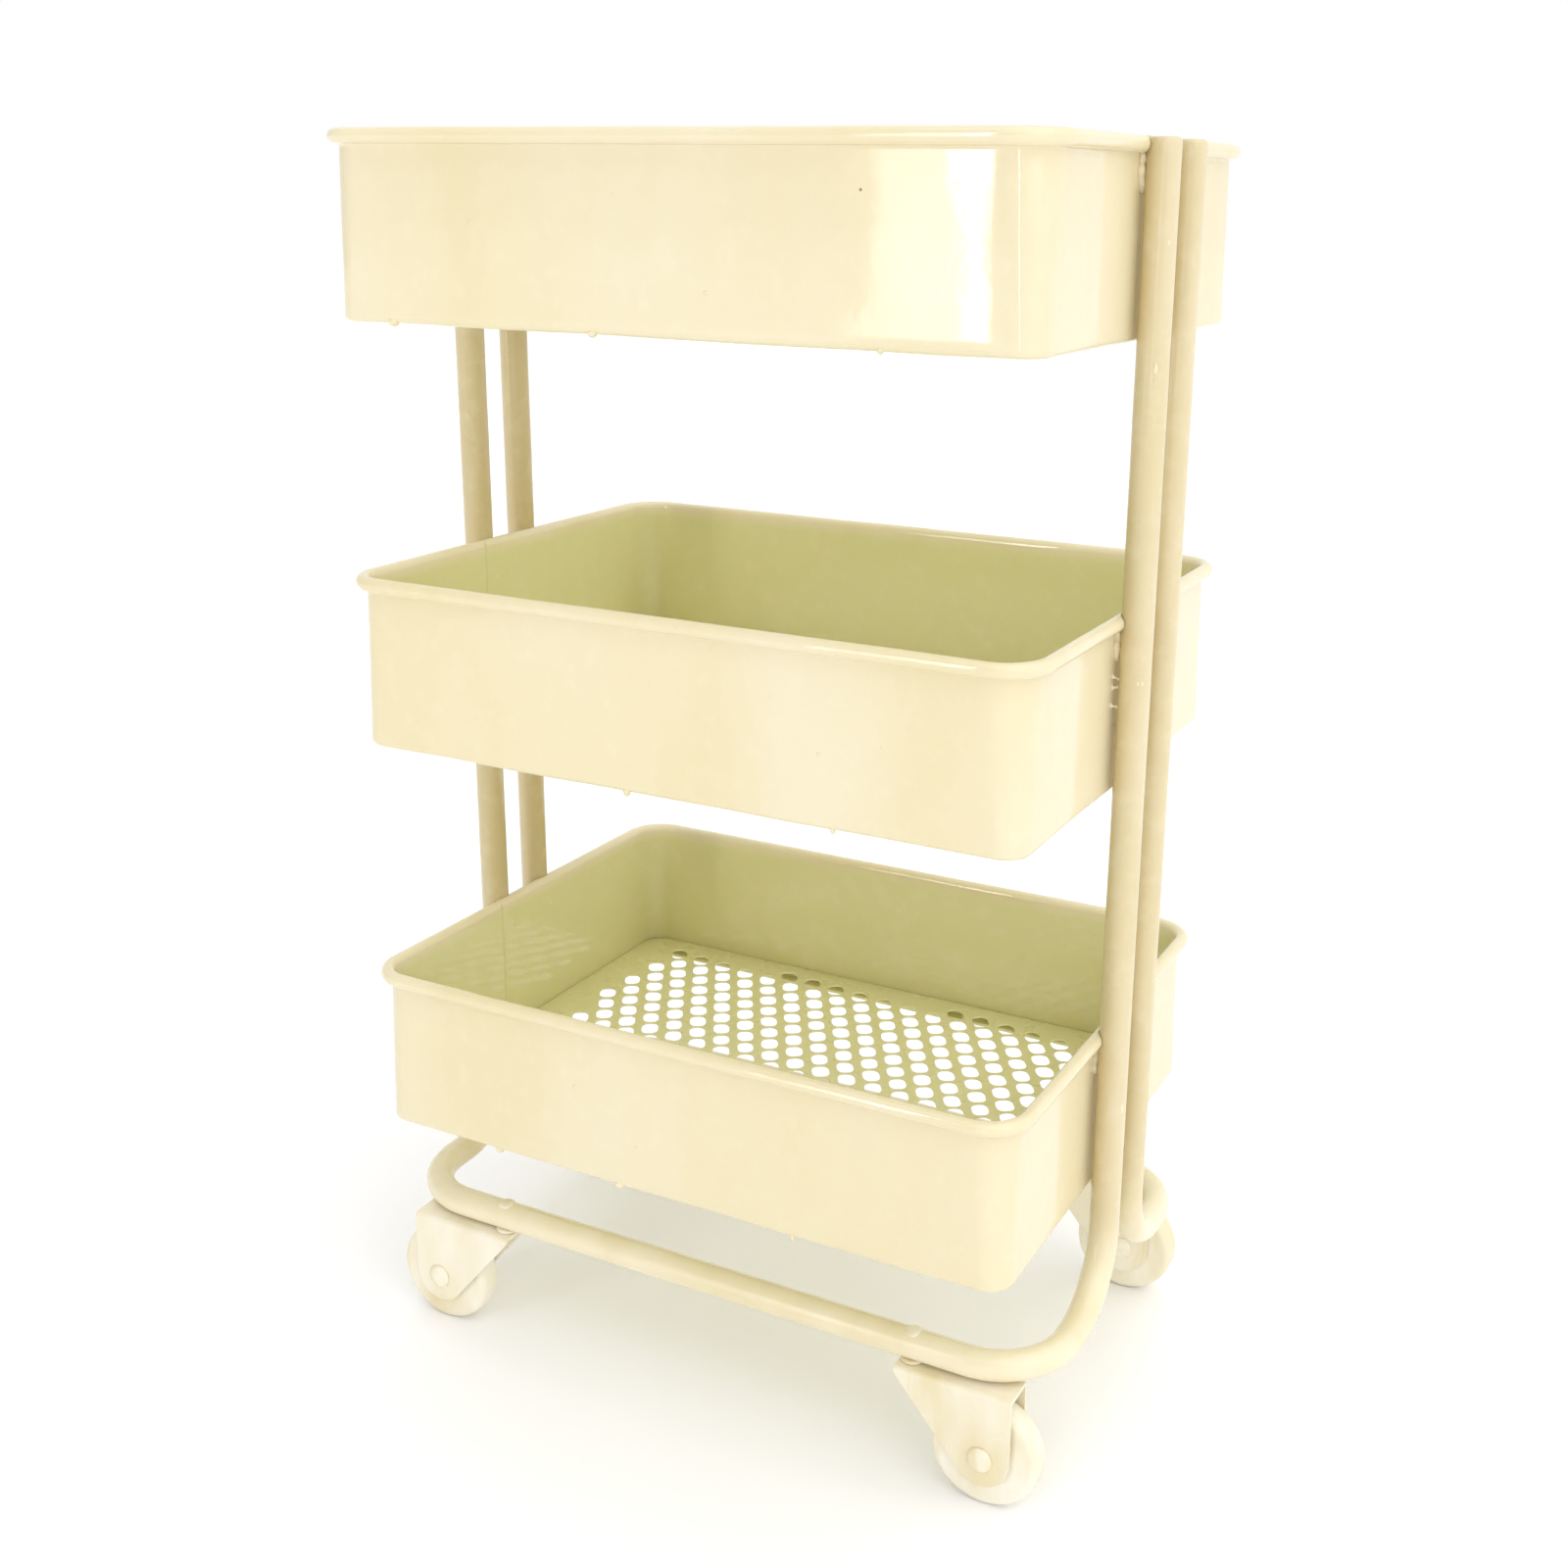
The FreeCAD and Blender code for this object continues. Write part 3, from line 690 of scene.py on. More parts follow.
def build_floor(tier):
    """One floor: punched holes with soft edges, and an edge turned down into a skirt."""
    sizes = shape()
    low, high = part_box(tier + "_tray_floor")
    dice = random.Random(sizes.lumps + TIERS.index(tier))
    half_width, half_length = sizes.hole_width / 2, sizes.hole_length / 2
    corner = sizes.floor_corner
    half_x = high.x - sizes.end_margin - HOLE_REACH
    low_y = low.y + sizes.front_margin + HOLE_REACH
    high_y = high.y - sizes.rear_margin - HOLE_REACH
    under_z = high.z - sizes.floor_sheet
    feed = Vector((math.cos(FEED_ANGLE), math.sin(FEED_ANGLE), 0))
    across_feed = Vector((-feed.y, feed.x, 0))
    flat = RIM_ROUND + 0.03 * MM
    levels = [(flat, high.z), (RIM_ROUND, high.z), (0.02 * MM, high.z - 0.02 * MM),
              (0.0, high.z - 0.07 * MM), (0.0, under_z + 0.07 * MM),
              (0.02 * MM, under_z + 0.02 * MM), (RIM_ROUND, under_z), (flat, under_z)]
    verts, faces, top_loops = [], [], []

    def add_rings(rings):
        """Join rings from the top down, and keep the first and last for the flat faces."""
        first = len(verts)
        count = len(rings[0])
        for ring in rings:
            verts.extend(ring)
        for row in range(len(rings) - 1):
            faces.extend(strip(first + row * count, first + (row + 1) * count, count))
        top_loops.append((first, first + (len(rings) - 1) * count, count))

    for centre in hole_centres(half_x, low_y, high_y):
        size = dice.uniform(0.95, 1.02)
        phase = dice.uniform(0, 1)
        rings = []
        for widen, z in levels:
            ring = []
            for step in range(HOLE_POINTS):
                angle = 2 * math.pi * step / HOLE_POINTS
                stretch = size * (1 + 0.025 * math.sin(2 * angle + 6 * phase))
                along, across = squared(math.cos(angle)), squared(math.sin(angle))
                ring.append(centre + feed * ((half_length * stretch + widen) * along)
                            + across_feed * ((half_width * stretch + widen) * across)
                            + Vector((0, 0, z)))
            rings.append(ring)
        add_rings(rings)
    outline = []
    for quarter in range(4):
        sign_x = 1 if quarter in (0, 3) else -1
        sign_y = 1 if quarter in (0, 1) else -1
        for step in range(9):
            angle = math.radians(90 * quarter + 90 * step / 8)
            outward = Vector((math.cos(angle), math.sin(angle), 0))
            centre = Vector((sign_x * (high.x - corner), sign_y * (high.y - corner), 0))
            outline.append((centre + outward * corner, outward))
    # The sheet's edge turns down into a skirt that stands on the ledge
    sheet = sizes.floor_sheet
    edge_levels = [(0.5 * MM, high.z), (0.2 * MM, high.z), (0.06 * MM, high.z - 0.04 * MM),
                   (0.0, high.z - 0.2 * MM), (0.0, low.z + 0.04 * MM), (0.04 * MM, low.z),
                   (sheet - 0.04 * MM, low.z), (sheet, low.z + 0.04 * MM),
                   (sheet, under_z - 0.1 * MM), (sheet + 0.1 * MM, under_z),
                   (sheet + 0.4 * MM, under_z)]
    add_rings([[place - outward * inset + Vector((0, 0, z)) for place, outward in outline]
               for inset, z in edge_levels])
    # Fill the top between the outline and the holes, then copy the fill to the underside
    work = bmesh.new()
    tops = {}
    under = {}
    edges = []
    for first, last, count in top_loops:
        loop = []
        for step in range(count):
            vert = work.verts.new(verts[first + step])
            tops[vert] = first + step
            under[vert] = last + step
            loop.append(vert)
        for step in range(count):
            edges.append(work.edges.new((loop[step], loop[(step + 1) % count])))
    filled = bmesh.ops.triangle_fill(work, edges=edges, use_beauty=True)
    for face in filled["geom"]:
        if isinstance(face, bmesh.types.BMFace):
            faces.append(tuple(tops[vert] for vert in face.verts))
            faces.append(tuple(under[vert] for vert in reversed(face.verts)))
    work.free()
    # Painted shade: every vertex of the floor gets the darker cream of the trays' insides
    return add_piece(tier + "_tray_punched_floor", [(verts, faces)], "cart",
                     floor_finish(), (tier + "_tray_floor",), painted_shade=[1.0] * len(verts))


# ---------------------------------------------------------------- frame wires

def arc_points(centre, start, end, radius, steps=14):
    """Points of a quarter bend from centre + start to centre + end, ends included."""
    points = []
    for step in range(steps + 1):
        angle = math.pi / 2 * step / steps
        points.append(centre + (start * math.cos(angle) + end * math.sin(angle)) * radius)
    return points


def straight(first, last, step=1.0 * MM):
    """Points between two places, about a step apart, without the places themselves."""
    count = max(1, round((last - first).length / step))
    return [first.lerp(last, index / count) for index in range(1, count)]


def loop_centre_line(node, side_y):
    """Centre line of one frame loop, from the left upright's top round to the right one's."""
    sizes = shape()
    low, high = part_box(node)
    radius = sizes.wire_radius
    axis_x = high.x - radius
    upright_y = high.y - radius if side_y < 0 else low.y + radius
    rail_y = low.y + radius if side_y < 0 else high.y - radius
    rail_z = low.z + radius
    foot, bend = sizes.foot_bend, sizes.rail_bend
    out = Vector((0, side_y, 0))
    up = Vector((0, 0, 1))
    halves = []
    for side in (-1, 1):
        along = Vector((side, 0, 0))
        top = Vector((side * axis_x, upright_y, high.z))
        foot_centre = Vector((side * axis_x, upright_y, rail_z)) + out * foot + up * foot
        rail_centre = Vector((side * (axis_x - bend), rail_y, rail_z)) - out * bend
        first_bend = arc_points(foot_centre, -out, -up, foot)
        second_bend = arc_points(rail_centre, along, out, bend)
        half = [top] + straight(top, first_bend[0]) + first_bend
        half += straight(first_bend[-1], second_bend[0]) + second_bend
        halves.append(half)
    rail = straight(halves[0][-1], halves[1][-1])
    return halves[0] + rail + halves[1][::-1]


# How far the paint's surface sinks between its slow and its quick lumps
SLOW_SWELL = 0.035 * MM
QUICK_SWELL = 0.012 * MM


def wire_rings(points, radius, seed, segments=28):
    """Rings round a centre line, carried along without twist, with the paint's unevenness."""
    tangents = []
    for index, place in enumerate(points):
        before = points[max(0, index - 1)]
        after = points[min(len(points) - 1, index + 1)]
        tangents.append((after - before).normalized())
    across = tangents[0].orthogonal().normalized()
    rings = []
    for place, tangent in zip(points, tangents):
        across = (across - tangent * across.dot(tangent)).normalized()
        third = tangent.cross(across)
        ring = []
        for step in range(segments):
            angle = 2 * math.pi * step / segments
            outward = across * math.cos(angle) + third * math.sin(angle)
            spot = place + outward * radius
            swell = SLOW_SWELL * (0.5 + 0.5 * wander(spot, 4.5 * MM, seed))
            swell += QUICK_SWELL * (0.5 + 0.5 * wander(spot, 1.4 * MM, seed + 2))
            ring.append(spot - outward * swell)
        rings.append(ring)
    return rings


# Share of the wire's radius, and distance back from its end in mm, as the end rounds over
END_ROUNDING = ((1.0, 0.5), (0.985, 0.3), (0.93, 0.12), (0.8, 0.02), (0.55, 0.0), (0.2, 0.0))


def rounded_end(ring, tangent):
    """Rings that close a wire's end with paint-softened edges; tangent points out of the wire."""
    centre = sum(ring, Vector()) / len(ring)
    return [[centre + (place - centre) * share + tangent * (-back * MM) for place in ring]
            for share, back in END_ROUNDING]


# Share of painted shade on the uprights' outer sides; it is 1 beside the trays
OUTER_SHADE = 0.45


def painted_shade_on_wire(place, axis_x, low_z):
    """Share of painted shade on a frame wire: none on the rail, most beside the trays."""
    sizes = shape()
    inward = 0.5 + 0.5 * (axis_x - abs(place.x)) / sizes.wire_radius
    climb = (place.z - low_z) / sizes.foot_bend - 0.5
    depth = OUTER_SHADE + (1 - OUTER_SHADE) * min(1.0, max(0.0, inward))
    return depth * min(1.0, max(0.0, climb))


def build_frame_loop(node, side_y):
    """One bent wire: an upright at each end and the rail between them."""
    sizes = shape()
    low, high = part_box(node)
    points = loop_centre_line(node, side_y)
    rings = wire_rings(points, sizes.wire_radius, 3.0 + side_y)
    up = Vector((0, 0, 1))
    start = rounded_end(rings[0], up)
    end = rounded_end(rings[-1], up)
    rings = start[::-1] + rings[1:-1] + end
    verts, faces = skin(rings)
    # Painted shade: the uprights are darkened towards the trays, with none on the rail
    painted_shade = [painted_shade_on_wire(place, high.x - sizes.wire_radius, low.z) for place in verts]
    return add_piece(node.replace("_loop", "_wire"), [(verts, faces)], "cart",
                     wire_finish(), (node,), painted_shade=painted_shade)


# ---------------------------------------------------------------- solder and paint lumps

# Least and most radius of a solder clot along x, y and z, in mm
CLOT_RADII = ((0.4, 0.6), (0.55, 0.85), (0.6, 1.1))
CLOTS_PER_JOINT = 5
# Share of the crevices with no strings of paint
STRANDLESS_SHARE = 0.35
# Size of the remesh cells that melt a tray's clots and strings into one skin
MELT_CELL = 0.09 * MM


def strand(first, last, radius, seed):
    """Thin string of paint pulled between two surfaces, waisted in the middle."""
    along = last - first
    across = along.orthogonal().normalized()
    third = along.normalized().cross(across)
    turns = [step * math.pi / 5 for step in range(10)]
    rings = []
    for step in range(9):
        share = step / 8
        centre = first + along * share
        waist = radius * (0.55 + 1.8 * (share - 0.5) ** 2)
        waist *= 1 + 0.2 * wander(centre, 0.5 * MM, seed)
        rings.append([centre + (across * math.cos(angle) + third * math.sin(angle)) * waist
                      for angle in turns])
    return skin(rings)


def build_solder(tier):
    """Four solder joints between the end walls and the uprights, with strings of paint across
    the crevices."""
    sizes = shape()
    low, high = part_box(tier + "_solder_joints")
    dice = random.Random(sizes.lumps + 20 + TIERS.index(tier))
    wall_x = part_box(tier + "_tray")[1].x - 2 * sizes.bead_radius + sizes.sheet
    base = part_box(tier + "_tray")[0].z
    joint_z = (low.z + high.z) / 2
    parts = []
    for axis_x, axis_y in upright_axes():
        side = 1 if axis_x > 0 else -1
        crevice = side * (wall_x + 0.1 * MM)
        for index in range(CLOTS_PER_JOINT):
            drop = dice.uniform(-0.9, 1.0) * MM
            shift = dice.uniform(-0.5, 0.5) * MM
            radii = [dice.uniform(least, most) * MM for least, most in CLOT_RADII]
            place = Vector((crevice, axis_y + shift, joint_z + drop))
            parts.append(lump(place, radii, dice.uniform(0, 9)))
        # The joint runs up under the bead
        place = Vector((crevice, axis_y, joint_z + 1.6 * MM))
        parts.append(lump(place, (0.5 * MM, 1.1 * MM, 0.8 * MM), 4.0))
        for direction in (-1, 1):
            if dice.random() < STRANDLESS_SHARE:
                continue
            for index in range(dice.randint(1, 3)):
                z = base + dice.uniform(2.0, 12.0) * MM
                y = axis_y + direction * dice.uniform(0.75, 1.0) * MM
                near = abs(axis_x) - math.sqrt(max(0.0, sizes.wire_radius ** 2 - (y - axis_y) ** 2))
                first = Vector((side * (wall_x - 0.05 * MM), y, z))
                last = Vector((side * (near + 0.1 * MM), y, z + dice.uniform(-0.3, 0.3) * MM))
                parts.append(strand(first, last, dice.uniform(0.16, 0.26) * MM, index))
                parts.append(lump(first, (0.16 * MM, 0.28 * MM, 0.34 * MM), index + 1.0))
    return add_piece(tier + "_solder_lumps", parts, "cart", solder_finish(),
                     (tier + "_solder_joints",), melt=MELT_CELL)


def drop_shape(place, width, drop, seed):
    """Hanging drop of paint on a bottom edge."""
    upper = lump(place, (width, width, width * 0.8), seed, rough=0.1)
    lower = lump(place - Vector((0, 0, drop * 0.5)), (width * 0.7, width * 0.7, drop * 0.55),
                 seed + 1, rough=0.1)
    return [upper, lower]


def fleck(place, radii, dice):
    """Small nib or blob of paint, with fewer facets than a lump."""
    return lump(place, radii, dice.uniform(0, 9), rings=8, segments=12)


# Place along the front bottom edge and size of each tray's drops, in mm
DRIPS = {
    "top": ((-29.0, 0.5), (-6.5, 0.45), (22.0, 0.35)),
    "middle": ((-4.0, 0.4), (18.0, 0.3)),
    "bottom": ((-21.0, 0.45), (-6.0, 0.55), (14.0, 0.35)),
}
REAR_DROPS = 3
WALL_NIBS = 7
BEAD_BLOBS = 6
UPRIGHT_LUMPS = 6
# How far a drop's centre is in from the wall's outer face and up from the bottom edge
DROP_INSET = 0.35 * MM
DROP_RISE = 0.12 * MM


def build_drips(tier):
    """Drops along the bottom edges, dust nibs on the walls and blobs on the bead."""
    sizes = shape()
    low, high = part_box(tier + "_tray")
    dice = random.Random(sizes.lumps + 40 + TIERS.index(tier))
    overhang = 2 * sizes.bead_radius - sizes.sheet
    half_y = high.y - overhang
    parts = []
    for x, width in DRIPS[tier]:
        place = Vector((x * MM, -half_y + DROP_INSET, low.z + DROP_RISE))
        parts += drop_shape(place, width * MM, dice.uniform(0.3, 0.55) * MM, dice.uniform(0, 9))
    for index in range(REAR_DROPS):
        place = Vector((dice.uniform(-28, 28) * MM, half_y - DROP_INSET, low.z + DROP_RISE))
        parts += drop_shape(place, dice.uniform(0.3, 0.5) * MM, dice.uniform(0.3, 0.5) * MM,
                            dice.uniform(0, 9))
    for index in range(WALL_NIBS):
        x = dice.uniform(-30, 30) * MM
        side = -1 if index % 2 else 1
        z = low.z + dice.uniform(2, 14) * MM
        size = dice.uniform(0.12, 0.22) * MM
        place = Vector((x, side * (half_y - 0.09 * MM), z))
        parts.append(fleck(place, (size * 1.2, size * 0.75, size), dice))
    bead_z = high.z - sizes.bead_radius
    for index in range(BEAD_BLOBS):
        x = dice.uniform(-30, 30) * MM
        side = -1 if index % 2 else 1
        y = side * (half_y + sizes.bead_radius - sizes.sheet)
        angle = math.radians(dice.uniform(-60, 30))
        reach = sizes.bead_radius - 0.16 * MM
        place = Vector((x, y + side * reach * math.cos(angle), bead_z + reach * math.sin(angle)))
        parts.append(fleck(place, (0.45 * MM, 0.14 * MM, 0.2 * MM), dice))
    return add_piece(tier + "_tray_paint_drops", parts, "cart", tray_finish())


# Distances down from the uprights' tops near which their lumps are, in mm
LUMP_DROPS = (3, 8, 9, 14, 20, 48, 56, 92)


def build_wire_lumps():
    """Paint lumps on the uprights' outer sides."""
    sizes = shape()
    dice = random.Random(sizes.lumps + 60)
    parts = []
    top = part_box("front_frame_loop")[1].z
    for axis_x, axis_y in upright_axes():
        side_x = 1 if axis_x > 0 else -1
        side_y = -1 if axis_y < 0 else 1
        for index in range(UPRIGHT_LUMPS):
            angle = math.radians(dice.uniform(10, 75))
            outward = Vector((side_x * math.cos(angle) * 0.9, side_y * math.sin(angle), 0))
            outward.normalize()
            z = top - dice.choice(LUMP_DROPS) * MM + dice.uniform(-1, 1) * MM
            size = dice.uniform(0.2, 0.36) * MM
            place = Vector((axis_x, axis_y, z)) + outward * (sizes.wire_radius - 0.14 * MM)
            parts.append(fleck(place, (size * 0.7, size * 0.7, size * 1.6), dice))
    # Lumps don't stand out past the ends of the frame
    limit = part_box("front_frame_loop")[1].x
    for verts, faces in parts:
        for place in verts:
            place.x = max(-limit, min(limit, place.x))
    return add_piece("upright_paint_lumps", parts, "cart", wire_finish())


# ---------------------------------------------------------------- casters

AXLE = Vector((0, 1, 0))
UPWARD = Vector((0, 0, 1))
WELD = 0.02 * MM
BRACKET_SOFTNESS = 0.13 * MM
# Heights up a side plate at which it has points, as shares
PLATE_SHARES = (0.0, 0.12, 0.3, 0.5, 0.7, 0.88, 1.0)


def corner_number(corner):
    """A steady number for each corner, so that no two casters have the same unevenness."""
    return 1.0 + list(CORNERS).index(corner)


def build_bracket(corner, side_x):
    """Folded sheet: a web on top and two side plates that taper down round the axle."""
    sizes = shape()
    node = corner + "_caster_bracket"
    low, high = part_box(node)
    wheel_low, wheel_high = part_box(corner + "_wheel")
    axle = (wheel_low + wheel_high) / 2
    outer_end = high.x if side_x > 0 else -low.x
    inner_end = low.x if side_x > 0 else -high.x
    axle_x = axle.x * side_x
    plate_round = outer_end - axle_x
    reach = axle_x - inner_end
    inner_corner = high.z - sizes.plate_inner_depth
    distance = math.hypot(reach, inner_corner - axle.z)
    tangent_angle = math.atan2(inner_corner - axle.z, -reach) + math.acos(plate_round / distance)
    tangent = (plate_round * math.cos(tangent_angle), plate_round * math.sin(tangent_angle))
    # Places along the bracket and the height of its lower edge there: down the sloping edge, then
    # round the axle and up to the outer end
    stations = []
    for step in range(11):
        share = step / 10
        x = -reach + (tangent[0] + reach) * share
        stations.append((x, inner_corner + (axle.z + tangent[1] - inner_corner) * share))
    for step in range(1, 21):
        angle = tangent_angle + (2 * math.pi - tangent_angle) * step / 20
        stations.append((plate_round * math.cos(angle), axle.z + plate_round * math.sin(angle)))
    middle_y = (low.y + high.y) / 2
    outer_half = (high.y - low.y) / 2
    fold = sizes.plate_fold
    plate = sizes.plate
    rings = []
    for x, bottom in stations:
        leg = []
        for share in PLATE_SHARES:
            leg.append((outer_half, bottom + (high.z - fold - bottom) * share))
        for step in range(1, 6):
            angle = math.pi / 2 * step / 6
            leg.append((outer_half - fold + fold * math.cos(angle),
                        high.z - fold + fold * math.sin(angle)))
        leg.append((outer_half - fold, high.z))
        leg.append((outer_half * 0.3, high.z))
        outer_line = leg + [(-y, z) for y, z in reversed(leg)]
        inner = []
        for y, z in leg:
            inner.append((min(y, outer_half - plate), min(z, high.z - plate)))
        inner_line = inner + [(-y, z) for y, z in reversed(inner)]
        section = outer_line + inner_line[::-1]
        world_x = side_x * (axle_x + x)
        rings.append([Vector((world_x, middle_y + y, z)) for y, z in section])
    count = len(rings[0])
    half = count // 2
    verts = [place for ring in rings for place in ring]
    faces = []
    for row in range(len(rings) - 1):
        faces += strip(row * count, (row + 1) * count, count)
    for row in (0, len(rings) - 1):
        a = row * count
        for step in range(half - 1):
            faces.append((a + step, a + step + 1, a + count - 2 - step, a + count - 1 - step))
    part = merged(verts, faces, WELD)
    return add_piece(corner + "_bracket_sheet", [part], corner + "_caster",
                     bracket_finish(), (node,), bevel=BRACKET_SOFTNESS)


def merged(verts, faces, distance):
    """Weld points closer than the distance and drop faces that collapse."""
    work = bmesh.new()
    made = [work.verts.new(place) for place in verts]
    for face in faces:
        work.faces.new([made[index] for index in face])
    bmesh.ops.remove_doubles(work, verts=work.verts, dist=distance)
    bmesh.ops.dissolve_degenerate(work, edges=work.edges, dist=distance * 0.5)
    work.verts.ensure_lookup_table()
    work.verts.index_update()
    out_verts = [vert.co.copy() for vert in work.verts]
    out_faces = [tuple(vert.index for vert in face.verts) for face in work.faces]
    work.free()
    return out_verts, out_faces


WHEEL_BORE = 0.86 * MM
WHEEL_HUB = 2.4 * MM
WHEEL_HUB_STEP = 0.15 * MM
WHEEL_SHOULDER = 0.8 * MM
AXLE_SHANK = 0.8 * MM
KINGPIN_HEAD = 0.45 * MM
KINGPIN_SHANK = 0.6 * MM
WASHER_BORE = 0.62 * MM
HEAD_RIM = 0.08 * MM


def build_wheel(corner):
    """Solid wheel with well-rounded tread edges, a low hub and a bore."""
    node = corner + "_wheel"
    low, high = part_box(node)
    centre = (low + high) / 2
    radius = (high.z - low.z) / 2
    hub_half = (high.y - low.y) / 2
    bore, hub, shoulder = WHEEL_BORE, WHEEL_HUB, WHEEL_SHOULDER
    side = hub_half - WHEEL_HUB_STEP
    half = [(bore, hub_half - 0.06 * MM), (bore + 0.06 * MM, hub_half),
            (hub - 0.12 * MM, hub_half), (hub, hub_half - 0.07 * MM),
            (hub + 0.12 * MM, side + 0.03 * MM), (hub + 0.3 * MM, side - 0.02 * MM),
            ((hub + radius) / 2, side - 0.04 * MM), (radius - shoulder - 0.3 * MM, side)]
    for step in range(8):
        angle = math.radians(90 - 12 * step)
        half.append((radius - shoulder + shoulder * math.cos(angle),
                     side - shoulder + shoulder * math.sin(angle)))
    half.append((radius, side * 0.25))
    profile = half + [(r, -y) for r, y in reversed(half)]
    part = lathe(profile, centre, AXLE, 72, 0.03 * MM, corner_number(corner))
    return add_piece(corner + "_wheel_disc", [part], corner + "_wheel",
                     wheel_finish(), (node,))


def head_profile(radius, height, start, direction):
    """Domed rivet head from its flat rim to its crown, with a paint-softened rim."""
    profile = [(radius * 0.96, start), (radius, start + direction * HEAD_RIM)]
    for step in range(1, 7):
        angle = math.pi / 2 * step / 7
        rise = HEAD_RIM + (height - HEAD_RIM) * math.sin(angle)
        profile.append((radius * math.cos(angle) ** 0.8, start + direction * rise))
    profile.append((0.0, start + direction * height))
    return profile


def build_axle_rivet(corner):
    """Axle rivet with a domed head outside each plate."""
    node = corner + "_axle_rivet"
    low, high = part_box(node)
    centre = (low + high) / 2
    plate_low, plate_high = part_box(corner + "_caster_bracket")
    face = (plate_high.y - plate_low.y) / 2
    height = (high.y - low.y) / 2 - face
    head = (high.z - low.z) / 2
    right = head_profile(head, height, face, 1)
    left = head_profile(head, height, -face, -1)
    profile = left[::-1] + [(AXLE_SHANK, -face), (AXLE_SHANK, face)] + right
    part = capped_lathe(profile, centre, AXLE, 40, 0.05 * MM, corner_number(corner) + 4)
    return add_piece(corner + "_axle_rivet_heads", [part], corner + "_caster",
                     rivet_finish(), (node,))


def build_kingpin(corner):
    """Kingpin rivet: a low head on the rail and one under the bracket's web."""
    node = corner + "_kingpin"
    low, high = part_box(node)
    centre = (low + high) / 2
    half = (high.z - low.z) / 2
    head = (high.x - low.x) / 2
    height, shank = KINGPIN_HEAD, KINGPIN_SHANK
    upper = head_profile(head, height, half - height, 1)
    lower = head_profile(head, height, -half + height, -1)
    profile = lower[::-1] + [(shank, -half + height), (shank, half - height)] + upper
    part = capped_lathe(profile, centre, UPWARD, 40, 0.04 * MM, corner_number(corner) + 8)
    return add_piece(corner + "_kingpin_rivet", [part], "cart", rivet_finish(),
                     (node,))


def build_washer(corner):
    """Spacer washer between rail and bracket, edges rounded by paint."""
    node = corner + "_spacer_washer"
    low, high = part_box(node)
    centre = (low + high) / 2
    half = (high.z - low.z) / 2
    radius = (high.x - low.x) / 2
    soft = 0.12 * MM
    profile = [(WASHER_BORE, -half), (radius - soft, -half),
               (radius - 0.03 * MM, -half + 0.04 * MM), (radius, -half + soft),
               (radius, half - soft), (radius - 0.03 * MM, half - 0.04 * MM),
               (radius - soft, half), (WASHER_BORE, half)]
    part = lathe(profile, centre, UPWARD, 40, 0.03 * MM, corner_number(corner) + 12)
    return add_piece(corner + "_washer_ring", [part], "cart", rivet_finish(),
                     (node,))


# ---------------------------------------------------------------- stage

FLOOR_HALF = 4.0
# Each softbox: its place, what it points at, its width and height in metres, the setting that
# gives its radiance and the share of it that it has
SOFTBOXES = {
    "standing_window": ((-0.365, -0.943, 0.3), (0.0, 0.0, 0.1), 0.026, 0.6, "window", 1.0),
    "curtain": ((-0.41, -0.925, 0.3), (0.0, 0.0, 0.1), 0.06, 0.6, "window", 0.3),
    "door_gap": ((0.3, -0.95, 0.2), (0.03, 0.0, 0.1), 0.025, 0.4, "window", 1.0),
    "right_softbox": ((1.1, -0.7, 0.6), (0.0, 0.0, 0.07), 0.9, 0.9, "key", 1.0),
}
SUN_DIRECTION = (0.25, -0.2, 0.95)
SUN_SPREAD = math.radians(80)
# Where the room is bright, and how far round from there it starts and stops getting dimmer
BRIGHT_SIDE = (0.5, 0.866, 0.0)
DIM_FROM, BRIGHT_FROM = -0.7, 0.05
CAMERA_PLACE = (0.088778, -0.160927, 0.12366)
CAMERA_SHIFT = (-0.0562, -0.0479)


def area_light(name, place, target, width, height, radiance):
    """Rectangular white softbox whose face has the given radiance."""
    data = bpy.data.lights.new(name, "AREA")
    data.shape = "RECTANGLE"
    data.size, data.size_y = width, height
    data.energy = radiance * math.pi * width * height
    light = bpy.data.objects.new(name, data)
    bpy.context.scene.collection.objects.link(light)
    light.location = place
    light.rotation_euler = (Vector(target) - Vector(place)).to_track_quat("-Z", "Y").to_euler()
    return light


